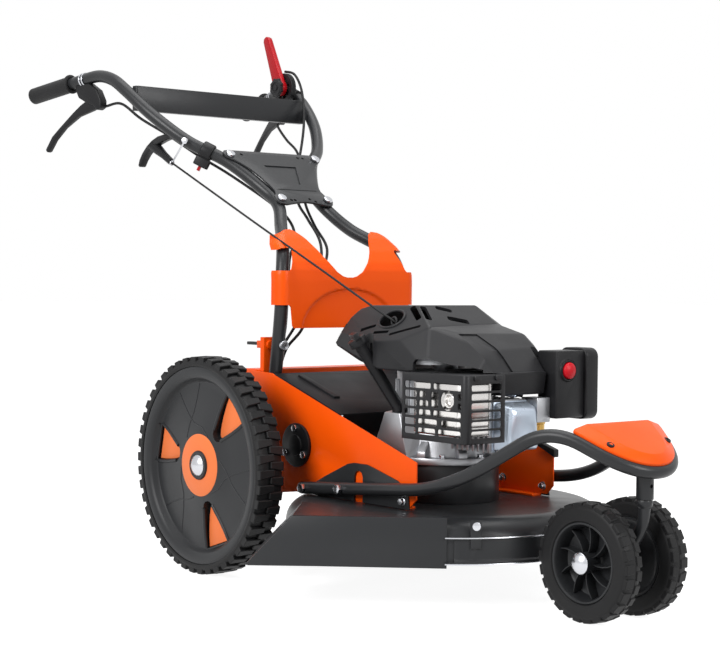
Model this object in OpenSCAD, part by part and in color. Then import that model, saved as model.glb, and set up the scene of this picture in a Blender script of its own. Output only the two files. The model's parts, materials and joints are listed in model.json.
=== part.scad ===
// Self-propelled three-wheeled rough-cut mower: round steel deck with a side chute, upright-shaft engine,
// two driven rear wheels, a twin-wheel front caster and a waisted tube handlebar.
// Lengths are in millimetres. +X is forward, +Y is left and +Z is up from the ground.

/* [Rear wheels] */
// Outside diameter of the rear tyres
wheel_d = 400; // [380:2:420]
// Width of the rear tyres
wheel_w = 56; // [50:1:60]
// Distance between the middles of the rear tyres
wheel_track = 558; // [552:1:590]
// Depth of the rubber from the tread to the rim
tread_h = 19; // [16:1:24]
// Depth of the tread lugs
lug_h = 8; // [5:1:10]
// Diameter of the rear axle
axle_d = 20; // [16:1:24]

/* [Caster] */
// Outside diameter of the caster tyres
caster_d = 194; // [184:2:196]
// Width of one caster tyre
caster_w = 45; // [40:1:46]
// Distance between the middles of the caster tyres
caster_track = 104; // [100:1:106]
// How far the caster axle trails behind the stem
caster_trail = 66; // [54:1:68]
// Radius of the caster rims
caster_rim_r = 65; // [58:1:68]
// Diameter of the caster axle
caster_axle_d = 16; // [12:1:18]
// Diameter of the swivel stem
stem_d = 18; // [16:1:24]
// Distance of the swivel stem ahead of the deck's rim
caster_lead = 186; // [183:1:193]

/* [Deck] */
// Outside diameter of the deck
deck_d = 566; // [540:2:568]
// Height of the deck from its rim to its flat top
deck_h = 74; // [68:1:84]
// Ground clearance under the rim
deck_clear = 80; // [70:1:90]
// Radius of the deck's rounded shoulder
shoulder_r = 40; // [30:1:45]
// Thickness of the steel sheet
sheet_t = 3; // [2:0.5:4]
// Distance of the engine shaft ahead of the rear axle
deck_x = 338; // [336:1:340]
// Length of the chute's upright wall along its foot
chute_foot = 322; // [300:2:340]
// Length of the chute's upright wall along its top
chute_top = 244; // [220:2:260]
// Width of the chute's hood
chute_w = 165; // [150:1:175]
// Length of the cutting bar
blade_l = 510; // [460:5:520]
// Width of the cutting bar
blade_w = 60; // [45:1:70]

/* [Chassis] */
// Width over the two side plates
chassis_w = 332; // [328:1:340]
// Thickness of the side plates
plate_t = 3; // [2:0.5:4]
// Height of the side plates' rear crest
crest_z = 367; // [355:1:375]
// Distance of the side plates' front edge ahead of the rear axle
plate_front = 450; // [435:1:460]
// Height of the side plates' front corner
front_z = 236; // [225:1:250]
// Diameter of the frame tube
frame_d = 22; // [20:1:25]
// Wall of the frame and handle tubes
tube_wall = 2; // [1.5:0.5:3]
// Distance of the frame tube's nose ahead of the swivel stem
nose_lead = 26; // [24:1:40]
// Height of the frame tube at its nose
nose_z = 246; // [240:1:256]
// Height of the frame tube at its peak
peak_z = 313; // [305:1:322]
// Width of the frame tube's nose loop
nose_w = 196; // [186:1:206]

/* [Drive] */
// Distance of the layshaft ahead of the rear axle
lay_x = 123; // [120:1:128]
// Height of the layshaft
lay_z = 240; // [236:1:246]
// Diameter of the layshaft
lay_d = 20; // [16:1:22]
// Radius of the bearing flanges on the side plates
flange_r = 40; // [36:1:44]
// Pitch radius of the axle sprocket
axle_sprocket_r = 42; // [36:1:46]
// Pitch radius of the layshaft sprocket
lay_sprocket_r = 25; // [20:1:28]
// Radius of the engine pulley
engine_pulley_r = 30; // [26:1:34]
// Radius of the gearbox pulley
box_pulley_r = 45; // [38:1:50]

/* [Engine] */
// Height of the engine's stand on the deck
stand_h = 68; // [64:1:74]
// Radius of the engine's stand
stand_r = 98; // [92:1:104]
// Height of the crankcase
case_h = 160; // [152:1:164]
// Radius of the crankcase
case_r = 86; // [80:1:92]
// Diameter of the crankshaft
crank_d = 25; // [22:1:28]
// Radius of the flywheel
flywheel_r = 70; // [60:1:72]
// Height of the cowl from its rim to its crown
cowl_h = 112; // [106:1:120]
// Wall of the cowl
cowl_wall = 3; // [2:0.5:4]

/* [Handlebar] */
// Diameter of the handle tubes
handle_d = 25; // [22:1:26]
// Distance between the handle tubes at their feet
foot_w = 300; // [290:1:300]
// Distance between the handle tubes at their waist
waist_w = 114; // [104:1:130]
// Distance between the handle tubes at the grips' ends
grip_w = 552; // [530:1:570]
// Height of the waist above the side plates' crest
waist_h = 319; // [310:1:330]
// Height of the bend above the side plates' crest
bend_h = 591; // [575:1:610]
// Distance of the grips' ends behind the tubes' feet
reach = 687; // [670:1:705]
// Length of the grips
grip_l = 115; // [100:1:125]
// Radius of the grips
grip_r = 17; // [16:0.5:19]
// Height of the crossbar
bar_h = 50; // [40:1:56]
// Diameter of the starter rope
rope_d = 4; // [3:0.5:5]
// Diameter of the control cables
cable_d = 6; // [5:0.5:7]

/* [Hidden] */
$fn = 48;

// Gap left between neighbours that neither touch nor fit
gap = 0.3;
// Radial clearance of a shaft that turns in a hole
run = 0.05;

// Small functions on numbers, points and routes
function mix(a, b, t) = a + (b - a) * t;
function ease(t) = t * t * (3 - 2 * t);
function unit(v) = v / norm(v);
function mirrored(p) = [p.x, -p.y, p.z];
function bend4(a, b, c, d, t) = 0.5 * (2 * b + (c - a) * t + (2 * a - 5 * b + 4 * c - d) * t * t
    + (3 * b - a - 3 * c + d) * t * t * t);
function smooth(p, n) = concat(
    [for (i = [0:len(p) - 2], j = [0:n - 1])
        bend4(p[max(i - 1, 0)], p[i], p[i + 1], p[min(i + 2, len(p) - 1)], j / n)],
    [p[len(p) - 1]]);
function heading(p, i) = unit(p[min(i + 1, len(p) - 1)] - p[max(i - 1, 0)]);
function ring(p, i, r, m, up) = let (
    t = heading(p, i),
    b = unit(cross(up, t)),
    c = cross(t, b)
) [for (k = [0:m - 1]) p[i] + r * (cos(360 * k / m) * b + sin(360 * k / m) * c)];
function ribbon(p, w) = concat(
    [for (i = [0:len(p) - 1]) p[i] + w / 2 * left_of(heading(p, i))],
    [for (i = [len(p) - 1:-1:0]) p[i] - w / 2 * left_of(heading(p, i))]);
function left_of(v) = [-v.y, v.x];
function curve3(a, b, c, n) = [for (i = [0:n]) let (t = i / n)
    (1 - t) * (1 - t) * a + 2 * t * (1 - t) * b + t * t * c];

// Heights and places that follow from the sizes above
axle_z = wheel_d / 2;
axle_r = axle_d / 2;
wheel_y = wheel_track / 2;
rim_r = wheel_d / 2 - tread_h;
hub_r = axle_r + 18;
hub_out = wheel_w / 2 - 4;
hub_in = wheel_w / 2 + 6;
web_top = 12;
web_t = 8;
cover_disc_r = 58;
cover_disc_t = 3;
cap_h = 9;
cap_r = 20;
stem_x = deck_x + deck_d / 2 + caster_lead;
nose_x = stem_x + nose_lead;
caster_z = caster_d / 2;
caster_x = stem_x - caster_trail;
caster_hub_out = caster_w / 2 + 3;
stem_r = stem_d / 2;
deck_r = deck_d / 2;
deck_top = deck_clear + deck_h;
flat_r = deck_r - shoulder_r;
half_w = chassis_w / 2;
frame_r = frame_d / 2;
bracket_t = 3;
rail_y = half_w + bracket_t + gap + frame_r;
engine_z = deck_top + stand_h;
case_top = engine_z + case_h;
crank_r = crank_d / 2;
belt_z = deck_top + 9;
belt_t = 16;
box_pulley_x = lay_x + 19;
chain_y = 70;
chain_t = 8;
handle_r = handle_d / 2;

// The handle tube's route: foot, knee, waist, shoulder, bend and grip
foot = [28, -foot_w / 2, crest_z - 27];
waist_z = crest_z + waist_h;
bend_z = crest_z + bend_h;
function leg(ahead, f_y, f_z) = [foot.x + ahead, mix(foot.y, -waist_w / 2, f_y), mix(foot.z, waist_z, f_z)];
function arm(f_x, f_y, f_z) = [foot.x - reach * f_x, -mix(waist_w / 2, grip_w / 2, f_y), mix(waist_z, bend_z, f_z)];
handle = [
    foot, leg(18, 0, 0.38), leg(16, 0.05, 0.6), leg(-6, 0.24, 0.75), leg(-68, 0.69, 0.87),
    leg(-116, 1, 1), arm(0.23, 0.027, 0.121), arm(0.322, 0.224, 0.325), arm(0.4, 0.484, 0.467),
    arm(0.493, 0.68, 0.665), arm(0.587, 0.776, 0.857), arm(0.649, 0.8, 0.949), arm(0.722, 0.817, 0.989),
    arm(0.802, 0.858, 0.967), arm(1, 1, 0.882)
];
handle_run = concat(smooth([for (i = [0:13]) handle[i]], 3), [handle[14]]);
grip_dir = unit(handle[14] - handle[13]);
grip_turn = atan2(grip_dir.y, grip_dir.x);
grip_start = handle[14] - grip_l * grip_dir;

// The frame tube's route along one side: rail, low bend, peak and half of the nose loop
rail_rear = [155, -rail_y, deck_top + frame_r + 1];
low_bend = [plate_front + 85, -rail_y, deck_top + 45];
peak = [nose_x - 122, -nose_w / 2 - 19, peak_z];
shoulder = [nose_x, -nose_w / 2 + 42, nose_z];
nose_l = 76;
function corner(a, b, c, l, n) = curve3(b + l * unit(a - b), b, b + l * unit(c - b), n);
function slope_z(x) = mix(peak.z, nose_z, (x - peak.x) / (nose_x - peak.x));
frame_side = concat(
    [rail_rear], corner(rail_rear, low_bend, peak, 90, 5), corner(low_bend, peak, shoulder, 58, 5),
    curve3(shoulder + nose_l * unit(peak - shoulder), shoulder, [nose_x, 0, nose_z], 6));
function frame_y(x) = lookup(x, [for (p = frame_side) [p.x, -p.y]]);
frame_run = concat(frame_side, [for (i = [len(frame_side) - 2:-1:0]) mirrored(frame_side[i])]);
nose_slope = atan((peak_z - nose_z) / (nose_x - peak.x));

// The chute leaves the deck along its tangent
chute_at = -43;
chute_turn = chute_at - 90;
chute_root = [deck_x + deck_r * cos(chute_at), deck_r * sin(chute_at), 0];
chute_z0 = deck_clear - 6;
chute_z1 = deck_top + 3;

// The starter rope runs from the cowl to its wire guide on the right handle tube
rope_out = [deck_x - 28, -120, engine_z + 274];
rope_guide = [foot.x - 0.478 * reach, -mix(waist_w / 2, grip_w / 2, 0.493), mix(waist_z, bend_z, 0.32)];
pull_dir = unit(rope_guide - rope_out);
pull_turn = 30;
wire_r = 1.8;

// The part's origin lies on the ground, under the middle of its outline
rear_x = handle[14].x - 4 * -grip_dir.x - grip_r * sqrt(1 - grip_dir.x * grip_dir.x);
front_x = nose_x + frame_r;
left_y = wheel_y + hub_out + gap + cap_h;
right_y = chute_root.y + chute_foot * sin(chute_turn) + (gap + sheet_t) * cos(chute_turn);
mid = [(front_x + rear_x) / 2, (left_y + right_y) / 2];

// Shared shapes
module placed() { translate([-mid.x, -mid.y, 0]) children(); }
module both() { children(); mirror([0, 1, 0]) children(); }
module along(p, d) { translate(p) rotate([0, acos(d.z), atan2(d.y, d.x)]) children(); }
module slab(y0, t) { translate([0, y0 + t, 0]) rotate([90, 0, 0]) linear_extrude(t) children(); }
module ycyl(r, y0, y1, x, z) { translate([x, y1, z]) rotate([90, 0, 0]) cylinder(r = r, h = y1 - y0); }
module xcyl(r, x0, x1, y, z) { translate([x0, y, z]) rotate([0, 90, 0]) cylinder(r = r, h = x1 - x0); }
module zcyl(r, z0, z1, x, y) { translate([x, y, z0]) cylinder(r = r, h = z1 - z0); }
module dome(r, h) {
    ball_r = (r * r + h * h) / (2 * h);
    difference() {
        translate([0, 0, h - ball_r]) sphere(ball_r);
        translate([-ball_r, -ball_r, -2 * ball_r]) cube(2 * ball_r);
    }
}
module rounded(w, h, r) {
    translate([r, 0]) square([w - 2 * r, h]);
    translate([0, r]) square([w, h - 2 * r]);
    for (x = [r, w - r], y = [r, h - r]) translate([x, y]) circle(r);
}
module pipe(run_pts, d, wall, sides, up) {
    n = len(run_pts);
    m = sides;
    walls = wall > 0 ? [d / 2, d / 2 - wall] : [d / 2];
    points = [for (r = walls, i = [0:n - 1]) each ring(run_pts, i, r, m, up)];
    far = (n - 1) * m;
    in0 = n * m;
    skin = [for (i = [0:n - 2], k = [0:m - 1]) let (a = i * m + k, b = i * m + (k + 1) % m)
        each [[a, a + m, b + m], [a, b + m, b]]];
    bore = [for (f = skin) [f[2] + in0, f[1] + in0, f[0] + in0]];
    ends = [for (k = [0:m - 1]) let (j = (k + 1) % m)
        each [[k, j, j + in0], [k, j + in0, k + in0],
            [far + j, far + k, far + k + in0], [far + j, far + k + in0, far + j + in0]]];
    caps = [[for (k = [0:m - 1]) k], [for (k = [m - 1:-1:0]) far + k]];
    polyhedron(points, wall > 0 ? concat(skin, bore, ends) : concat(skin, caps));
}

// Tyres and rims are drawn about the Z axis, with the outer face up
module lug_ring(d, lugs, depth) {
    pitch = 360 / lugs;
    polygon([for (k = [0:lugs - 1], c = [[0, 0], [0.6, 0], [0.68, 1], [0.92, 1]])
        (d / 2 - c[1] * depth) * [cos((k + c[0]) * pitch), sin((k + c[0]) * pitch)]]);
}
module tyre(d, w, bore_r, lugs, depth) {
    crown_r = d / 2 - depth + 0.6;
    side = w * 0.18;
    difference() {
        union() {
            rotate_extrude() polygon([
                [bore_r, -w / 2], [crown_r - side, -w / 2], [crown_r, -w / 2 + side],
                [crown_r, w / 2 - side], [crown_r - side, w / 2], [bore_r, w / 2]]);
            for (s = [0, 1]) rotate([0, 0, s * 180 / lugs])
                translate([0, 0, s == 0 ? 1 : -w * 0.38]) linear_extrude(w * 0.38 - 1) lug_ring(d, lugs, depth);
        }
        translate([0, 0, -w]) cylinder(r = bore_r, h = 2 * w);
    }
}
module rear_tyre() { tyre(wheel_d, wheel_w, rim_r + gap, 40, lug_h); }
module rear_window(inset) {
    polygon([for (c = [[0.58, 22], [0.87, 27], [0.87, 2], [0.72, 5]])
        (rim_r * c[0] + (c[0] < 0.8 ? inset : -inset)) * [cos(c[1]), sin(c[1])]
            + inset * (c[1] > 10 ? [sin(c[1]), -cos(c[1])] : [-sin(c[1]), cos(c[1])])]);
}
window_turns = [28, 148, 268];
module rear_rim() {
    barrel_t = 9;
    color("dimgray") difference() {
        union() {
            rotate_extrude() polygon([
                [rim_r - barrel_t, -wheel_w / 2 + 2], [rim_r, -wheel_w / 2 + 2], [rim_r, wheel_w / 2 - 2],
                [rim_r - 2 * barrel_t, wheel_w / 2 - 2], [rim_r - 2 * barrel_t, wheel_w / 2 - 6],
                [rim_r - barrel_t, wheel_w / 2 - 6]]);
            translate([0, 0, web_top - web_t]) cylinder(r = rim_r - barrel_t / 2, h = web_t);
            translate([0, 0, -hub_in]) cylinder(r = hub_r, h = hub_in + hub_out);
            for (a = [0:30:330]) rotate([0, 0, a])
                translate([cover_disc_r + 2, -2, web_top - 2]) cube([rim_r - cover_disc_r - barrel_t + 2, 4, 6]);
        }
        translate([0, 0, -wheel_w]) cylinder(r = axle_r + run, h = 2 * wheel_w);
        for (a = window_turns) rotate([0, 0, a])
            translate([0, 0, web_top - web_t - 1]) linear_extrude(web_t + 8) rear_window(0);
    }
    color("orange") for (a = window_turns) rotate([0, 0, a])
        translate([0, 0, web_top - web_t]) linear_extrude(web_t + 2) rear_window(gap);
    color("orange") translate([0, 0, web_top]) difference() {
        cylinder(r = cover_disc_r - gap, h = cover_disc_t);
        translate([0, 0, -1]) cylinder(r = hub_r + gap, h = cover_disc_t + 2);
    }
}
module on_right() { translate([0, -wheel_y, axle_z]) rotate([90, 0, 0]) children(); }
module on_left() { translate([0, wheel_y, axle_z]) rotate([-90, 0, 0]) children(); }
module caster_tyre() { tyre(caster_d, caster_w, caster_rim_r + gap, 24, lug_h - 3); }
module caster_rim() {
    difference() {
        union() {
            rotate_extrude() polygon([
                [caster_rim_r - 8, -caster_w / 2 + 2], [caster_rim_r, -caster_w / 2 + 2],
                [caster_rim_r, caster_w / 2 - 2], [caster_rim_r - 8, caster_w / 2 - 2]]);
            translate([0, 0, -3]) cylinder(r = caster_rim_r - 4, h = 6);
            translate([0, 0, -caster_hub_out]) cylinder(r = caster_axle_d / 2 + 10, h = 2 * caster_hub_out);
            for (k = [0:8]) rotate([0, 0, k * 40]) translate([12, -1.5, -14]) cube([caster_rim_r - 16, 3, 28]);
        }
        translate([0, 0, -caster_w]) cylinder(r = caster_axle_d / 2 + run, h = 2 * caster_w);
    }
}
module on_caster(side) {
    translate([caster_x, side * caster_track / 2, caster_z]) rotate([-90 * side, 0, 0]) children();
}

// Chassis of folded orange plate
plate_rear = -60;
foot_flange_w = 25;
module plate_outline() {
    difference() {
        polygon([
            [plate_rear, crest_z + 5], [foot.x + 13, crest_z], [plate_front, front_z],
            [plate_front, deck_top + 20], [plate_front - 16, deck_top + 4], [120, deck_top],
            [60, deck_top - 8], [0, axle_z - 50], [plate_rear + 15, axle_z - 38], [plate_rear, axle_z]]);
        translate([0, axle_z]) circle(axle_r + 4);
        translate([lay_x, lay_z]) circle(lay_d / 2 + 10);
    }
}
module side_plates() color("orangered") placed() both() {
    slab(half_w - plate_t, plate_t) plate_outline();
    translate([180, half_w - foot_flange_w, deck_top]) cube([plate_front - 210, foot_flange_w - 1, 4]);
}
cross_front = 10;
cross_y = half_w - plate_t - gap;
post_y = foot_w / 2 - 2;
post_w = 26;
post_top = crest_z + 66;
clamp_z = crest_z + 52;
clamp_x = -9;
module rear_crossmember() color("orangered") placed() {
    for (part = [[plate_rear + 5, crest_z + 2, cross_front - plate_rear - 5, 3],
            [plate_rear + 5, crest_z - 37, 3, 41], [cross_front - 3, crest_z - 27, 3, 31]])
        translate([part[0], -cross_y, part[1]]) cube([part[2], 2 * cross_y, part[3]]);
    both() translate([0, -post_y, 0]) {
        translate([-2, -post_w / 2, crest_z + 4]) cube([12, post_w, post_top - crest_z - 4]);
        xcyl(8, 9, 15, 0, clamp_z);
        difference() {
            for (s = [-1, 1]) translate([clamp_x - 7, s * 9 - 2, clamp_z - 7]) cube([14, 4, 14]);
            ycyl(3 - run, -12, 12, clamp_x, clamp_z);
        }
        ycyl(3, -11, 11, clamp_x, clamp_z);
    }
}
cover_from = 50;
cover_to = 246;
function crest_line(x) = mix(crest_z, front_z, (x - foot.x - 13) / (plate_front - foot.x - 13));
module top_cover() color("dimgray") placed() {
    cover_t = 3;
    slope = atan((crest_z - front_z) / (plate_front - foot.x - 13));
    slope_l = (cover_to - cover_from) / cos(slope);
    translate([cover_from, 0, crest_line(cover_from) + gap]) rotate([0, slope, 0]) {
        translate([0, -half_w, 0]) cube([slope_l, chassis_w, cover_t]);
        for (y = [-0.72, 0.72]) translate([20, y * half_w - 7, 1]) cube([slope_l * 0.55, 14, cover_t + 3]);
        translate([slope_l - cover_t, 8 - half_w, -34]) cube([cover_t, chassis_w - 16, 35]);
    }
}

// Deck of pressed steel, its chute and its skirt
module deck_profile(out) {
    r = deck_r + out;
    s = shoulder_r + out;
    polygon(concat([[0, deck_top + out]],
        [for (a = [90:-10:0]) [flat_r + s * cos(a), deck_top - shoulder_r + s * sin(a)]],
        [[r, deck_clear - 1], [0, deck_clear - 1]]));
}
module deck_shell() color("dimgray") placed() translate([deck_x, 0, 0]) difference() {
    rotate_extrude($fn = 96) intersection() {
        difference() {
            deck_profile(0);
            deck_profile(-sheet_t);
        }
        translate([0, deck_clear]) square([deck_r + 1, deck_h + 1]);
    }
    translate([0, 0, deck_top - 10]) cylinder(r = stand_r - 28, h = 20);
    rotate([0, 0, chute_at - 66]) rotate_extrude(angle = 62)
        translate([flat_r - 8, deck_clear - 2]) square([shoulder_r + 20, deck_h - 16]);
}
module discharge_chute() color("dimgray") placed() difference() {
    hood_slope = atan((chute_z1 - chute_z0) / (chute_foot - chute_top));
    translate(chute_root) rotate([0, 0, chute_turn]) {
        slab(gap, sheet_t) polygon([[-8, chute_z0], [chute_foot, chute_z0], [chute_top, chute_z1], [-8, chute_z1]]);
        translate([0, -chute_w, chute_z1 - sheet_t]) cube([chute_top, chute_w + sheet_t, sheet_t]);
        translate([chute_top, -chute_w, chute_z1]) rotate([0, hood_slope, 0])
            translate([-1, 0, -sheet_t]) cube([norm([chute_foot - chute_top, chute_z1 - chute_z0]) - 2,
                chute_w + sheet_t, sheet_t]);
    }
    translate([deck_x, 0, 0]) rotate_extrude($fn = 96) deck_profile(gap);
    zcyl(deck_r - 26, deck_top - 5, deck_top + 20, deck_x, 0);
}
tab_at = -32;
module deck_skirt() color("dimgray") placed() translate([deck_x, 0, 0]) {
    rotate([0, 0, chute_at + 4]) rotate_extrude(angle = 112, $fn = 96)
        polygon([[deck_r + gap, deck_clear], [deck_r + 7, deck_clear], [deck_r + 7, deck_clear + 6],
            [deck_r + gap + sheet_t, deck_clear + 9], [deck_r + gap + sheet_t, deck_clear + 45],
            [deck_r + gap, deck_clear + 45]]);
    rotate([0, 0, tab_at]) translate([deck_r + gap + sheet_t, -9, deck_clear + 27]) cube([sheet_t, 18, 46]);
}
module engine_stand() color("dimgray") placed() translate([deck_x, 0, deck_top]) difference() {
    cylinder(r = stand_r, h = stand_h);
    translate([0, 0, -1]) cylinder(r = stand_r - 28, h = stand_h + 2);
    translate([-stand_r - 1, -box_pulley_r - 8, 4]) cube([stand_r, 2 * box_pulley_r + 16, belt_t + 12]);
}

// Front frame tube with its brackets, nose plate and caster head
module frame_brackets() color("dimgray") placed() both() difference() {
    slab(half_w, bracket_t) polygon([
        [178, deck_top], [182, deck_top + 19], [262, deck_top + 51], [315, deck_top + 51],
        [362, deck_top + 37], [436, deck_top + 25], [436, deck_top]]);
    translate([286, half_w - 1, deck_top + 22]) cube([18, bracket_t + 2, 14]);
}
module front_frame() color("dimgray") placed() pipe(frame_run, frame_d, tube_wall, 16, [0, 0, 1]);
nose_plate_rear = nose_x - 96;
nose_plate_t = 3;
nose_edge = [for (p = frame_side) if (p.x > nose_plate_rear) [(p.x - nose_plate_rear) / cos(nose_slope), p.y]];
module nose_plate() color("orangered") placed()
    translate([nose_plate_rear, 0, slope_z(nose_plate_rear) + (frame_r + gap) / cos(nose_slope)])
        rotate([0, nose_slope, 0]) linear_extrude(nose_plate_t) polygon(concat(
            [[0, -frame_y(nose_plate_rear)]], nose_edge,
            [for (i = [len(nose_edge) - 2:-1:0]) [nose_edge[i].x, -nose_edge[i].y]], [[0, frame_y(nose_plate_rear)]]));
head_z0 = caster_d + 6;
head_plate_z = slope_z(stem_x) - 6;
module head_tube() color("dimgray") placed() {
    head_r = stem_r + 5;
    bridge_w = 2 * frame_y(stem_x) - frame_d + 8;
    difference() {
        union() {
            zcyl(head_r, head_z0, head_plate_z, stem_x, 0);
            translate([stem_x - head_r, -bridge_w / 2, head_plate_z - 5]) cube([2 * head_r, bridge_w, 5]);
        }
        zcyl(stem_r + run, head_z0 - 1, head_plate_z - 5, stem_x, 0);
        xcyl(3, stem_x - 30, stem_x + 30, 0, head_z0 + 22);
    }
}
module caster_fork() color("dimgray") placed() difference() {
    collar_z = head_z0 - gap;
    boss_y = caster_track / 2 - caster_hub_out - gap;
    union() {
        zcyl(stem_r, collar_z - 20, head_plate_z - 6, stem_x, 0);
        zcyl(stem_r + 4, collar_z - 13, collar_z, stem_x, 0);
        slab(-stem_r, stem_d) polygon(ribbon(curve3([stem_x, collar_z - 8],
            [stem_x + 4, caster_z + 38], [caster_x, caster_z], 10), stem_d + 2));
        ycyl(caster_axle_d / 2 + 9, -boss_y, boss_y, caster_x, caster_z);
    }
    ycyl(caster_axle_d / 2 + run, -boss_y - 1, boss_y + 1, caster_x, caster_z);
}
module caster_axle() color("silver") placed() {
    end_y = caster_track / 2 + caster_hub_out + gap;
    ycyl(caster_axle_d / 2, -end_y - 1, end_y + 1, caster_x, caster_z);
    for (s = [-1, 1]) translate([caster_x, s * end_y, caster_z]) rotate([-90 * s, 0, 0]) dome(18, 8);
}

// Rear axle, layshaft, chain and gearbox
bush_t = 14;
module bearing_flanges() color([0.1, 0.1, 0.1]) placed() both() {
    difference() {
        union() {
            ycyl(flange_r, half_w, half_w + 6, lay_x, lay_z);
            ycyl(lay_d / 2 + 9, half_w - plate_t - 4, half_w + 9, lay_x, lay_z);
        }
        ycyl(lay_d / 2 + run, half_w - plate_t - 5, half_w + 5, lay_x, lay_z);
    }
    difference() {
        ycyl(axle_r + 16, half_w - plate_t - bush_t, half_w - plate_t, 0, axle_z);
        ycyl(axle_r + run, half_w - plate_t - bush_t - 1, half_w, 0, axle_z);
    }
}
module rear_axle() color("silver") placed() {
    end_y = wheel_y + hub_out + gap;
    ycyl(axle_r, -end_y - 2, end_y + 2, 0, axle_z);
    ycyl(axle_sprocket_r - 4, chain_y - 3, chain_y + 3, 0, axle_z);
    both() translate([0, end_y, axle_z]) rotate([-90, 0, 0]) dome(cap_r, cap_h);
}
module layshaft() color("silver") placed() {
    ycyl(lay_d / 2, -half_w - 4, half_w + 4, lay_x, lay_z);
    ycyl(lay_sprocket_r - 4, chain_y - 3, chain_y + 3, lay_x, lay_z);
}
module loop(r1, r2, x2, z2, t) {
    difference() {
        hull() {
            circle(r1 + t);
            translate([x2, z2]) circle(r2 + t);
        }
        hull() {
            circle(r1);
            translate([x2, z2]) circle(r2);
        }
    }
}
module drive_chain() color("gray") placed() translate([0, 0, axle_z])
    slab(chain_y - chain_t / 2, chain_t)
        loop(axle_sprocket_r - 4 + gap, lay_sprocket_r - 4 + gap, lay_x, lay_z - axle_z, 8);
box_z0 = belt_z + belt_t + 10;
box_z1 = lay_z + 35;
arm_at = [lay_x - 10, -24];
module gearbox() color("gray") placed() {
    difference() {
        union() {
            translate([lay_x - 32, -40, box_z0]) cube([68, 80, box_z1 - box_z0]);
            ycyl(lay_d / 2 + 22, -52, 52, lay_x, lay_z);
            translate([lay_x + 14, -cross_y, box_z1 - 4]) cube([16, 2 * cross_y, 4]);
        }
        ycyl(lay_d / 2 + run, -60, 60, lay_x, lay_z);
        zcyl(8 + run, box_z0 - 1, box_z0 + 16, box_pulley_x, 0);
    }
    zcyl(5, box_z1 - 2, box_z1 + 9, arm_at.x, arm_at.y);
}
module box_pulley() color("gray") placed() {
    difference() {
        zcyl(box_pulley_r + 3, belt_z, belt_z + belt_t, box_pulley_x, 0);
        translate([box_pulley_x, 0, belt_z + belt_t / 2]) rotate_extrude()
            translate([box_pulley_r - 3, -4]) square([10, 8]);
    }
    zcyl(8, belt_z + 1, box_z0 + 14, box_pulley_x, 0);
}
module drive_belt() color([0.1, 0.1, 0.1]) placed() translate([deck_x, 0, belt_z + belt_t / 2 - 3])
    linear_extrude(6) loop(engine_pulley_r - 3 + gap, box_pulley_r - 3 + gap, box_pulley_x - deck_x, 0, 6);
module clutch_arm() color("gray") placed() difference() {
    union() {
        zcyl(10, box_z1 + gap, box_z1 + 7, arm_at.x, arm_at.y);
        translate([arm_at.x - 6, arm_at.y - 46, box_z1 + 1.5]) cube([12, 46, 4]);
        zcyl(6, box_z1 + 1.5, box_z1 + 12, arm_at.x, arm_at.y - 44);
    }
    zcyl(5 + run, box_z1 - 5, box_z1 + 20, arm_at.x, arm_at.y);
}

// Engine: crankcase with its finned cylinder lying forward, covers, exhaust and intake
cyl_x0 = deck_x + 70;
cyl_x1 = deck_x + 186;
cyl_y0 = -66;
cyl_y1 = 18;
cyl_z0 = engine_z + 30;
cyl_z1 = engine_z + 120;
foot_r = stand_r + 8;
module crankcase() color("silver") placed() difference() {
    union() {
        zcyl(foot_r, engine_z, engine_z + 12, deck_x, 0);
        zcyl(case_r, engine_z + 10, case_top, deck_x, 0);
        translate([deck_x - 70, -case_r - 26, engine_z + 10]) cube([95, 52, sump_z - engine_z - 10]);
        translate([deck_x, cyl_y0 + 14, cyl_z0 + 14])
            cube([cyl_x1 - deck_x, cyl_y1 - cyl_y0 - 28, cyl_z1 - cyl_z0 - 28]);
        for (x = [cyl_x0 + 18:13:cyl_x1 - 2]) translate([x, cyl_y0, cyl_z0]) cube([5, cyl_y1 - cyl_y0, cyl_z1 - cyl_z0]);
        translate([cyl_x1 - 8, cyl_y0, cyl_z0]) cube([8, cyl_y1 - cyl_y0, cyl_z1 - cyl_z0]);
    }
    zcyl(crank_r + run, engine_z - 1, case_top + 1, deck_x, 0);
    zcyl(case_r - 12, engine_z + 24, case_top - 14, deck_x, 0);
    translate([deck_x, (cyl_y0 + cyl_y1) / 2, (cyl_z0 + cyl_z1) / 2]) rotate([0, 90, 0])
        cylinder(r = 26, h = cyl_x1 - deck_x - 20);
}
module rocker_cover() color("lightsteelblue") placed()
    translate([cyl_x1 + gap, cyl_y0 + 1, cyl_z0 + 3]) rotate([90, 0, 90])
        linear_extrude(40) rounded(cyl_y1 - cyl_y0 - 2, cyl_z1 - cyl_z0 - 5, 14);
guard_x0 = deck_x + 64;
guard_x1 = deck_x + 222;
guard_y0 = -158;
guard_gap = 2;
guard_y1 = cyl_y0 - guard_gap;
guard_z0 = engine_z + 52;
guard_z1 = engine_z + 165;
module muffler() color("silver") placed() {
    inset = 8;
    difference() {
        union() {
            translate([guard_x0 + inset, guard_y0 + inset, guard_z0 + 10])
                linear_extrude(guard_z1 - guard_z0 - 24)
                    rounded(guard_x1 - guard_x0 - 2 * inset - 6, guard_y1 - guard_y0 - inset - 4, 22);
            ycyl(13, guard_y0 + 4, guard_y0 + inset + 4, guard_x0 + 113, guard_z0 + 70);
        }
        ycyl(9, guard_y0, guard_y0 + inset + 3, guard_x0 + 113, guard_z0 + 70);
    }
    translate([guard_x0 + 40, guard_y1 - 5, guard_z0 + 30]) cube([30, 5 - gap + guard_gap, 30]);
}
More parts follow.
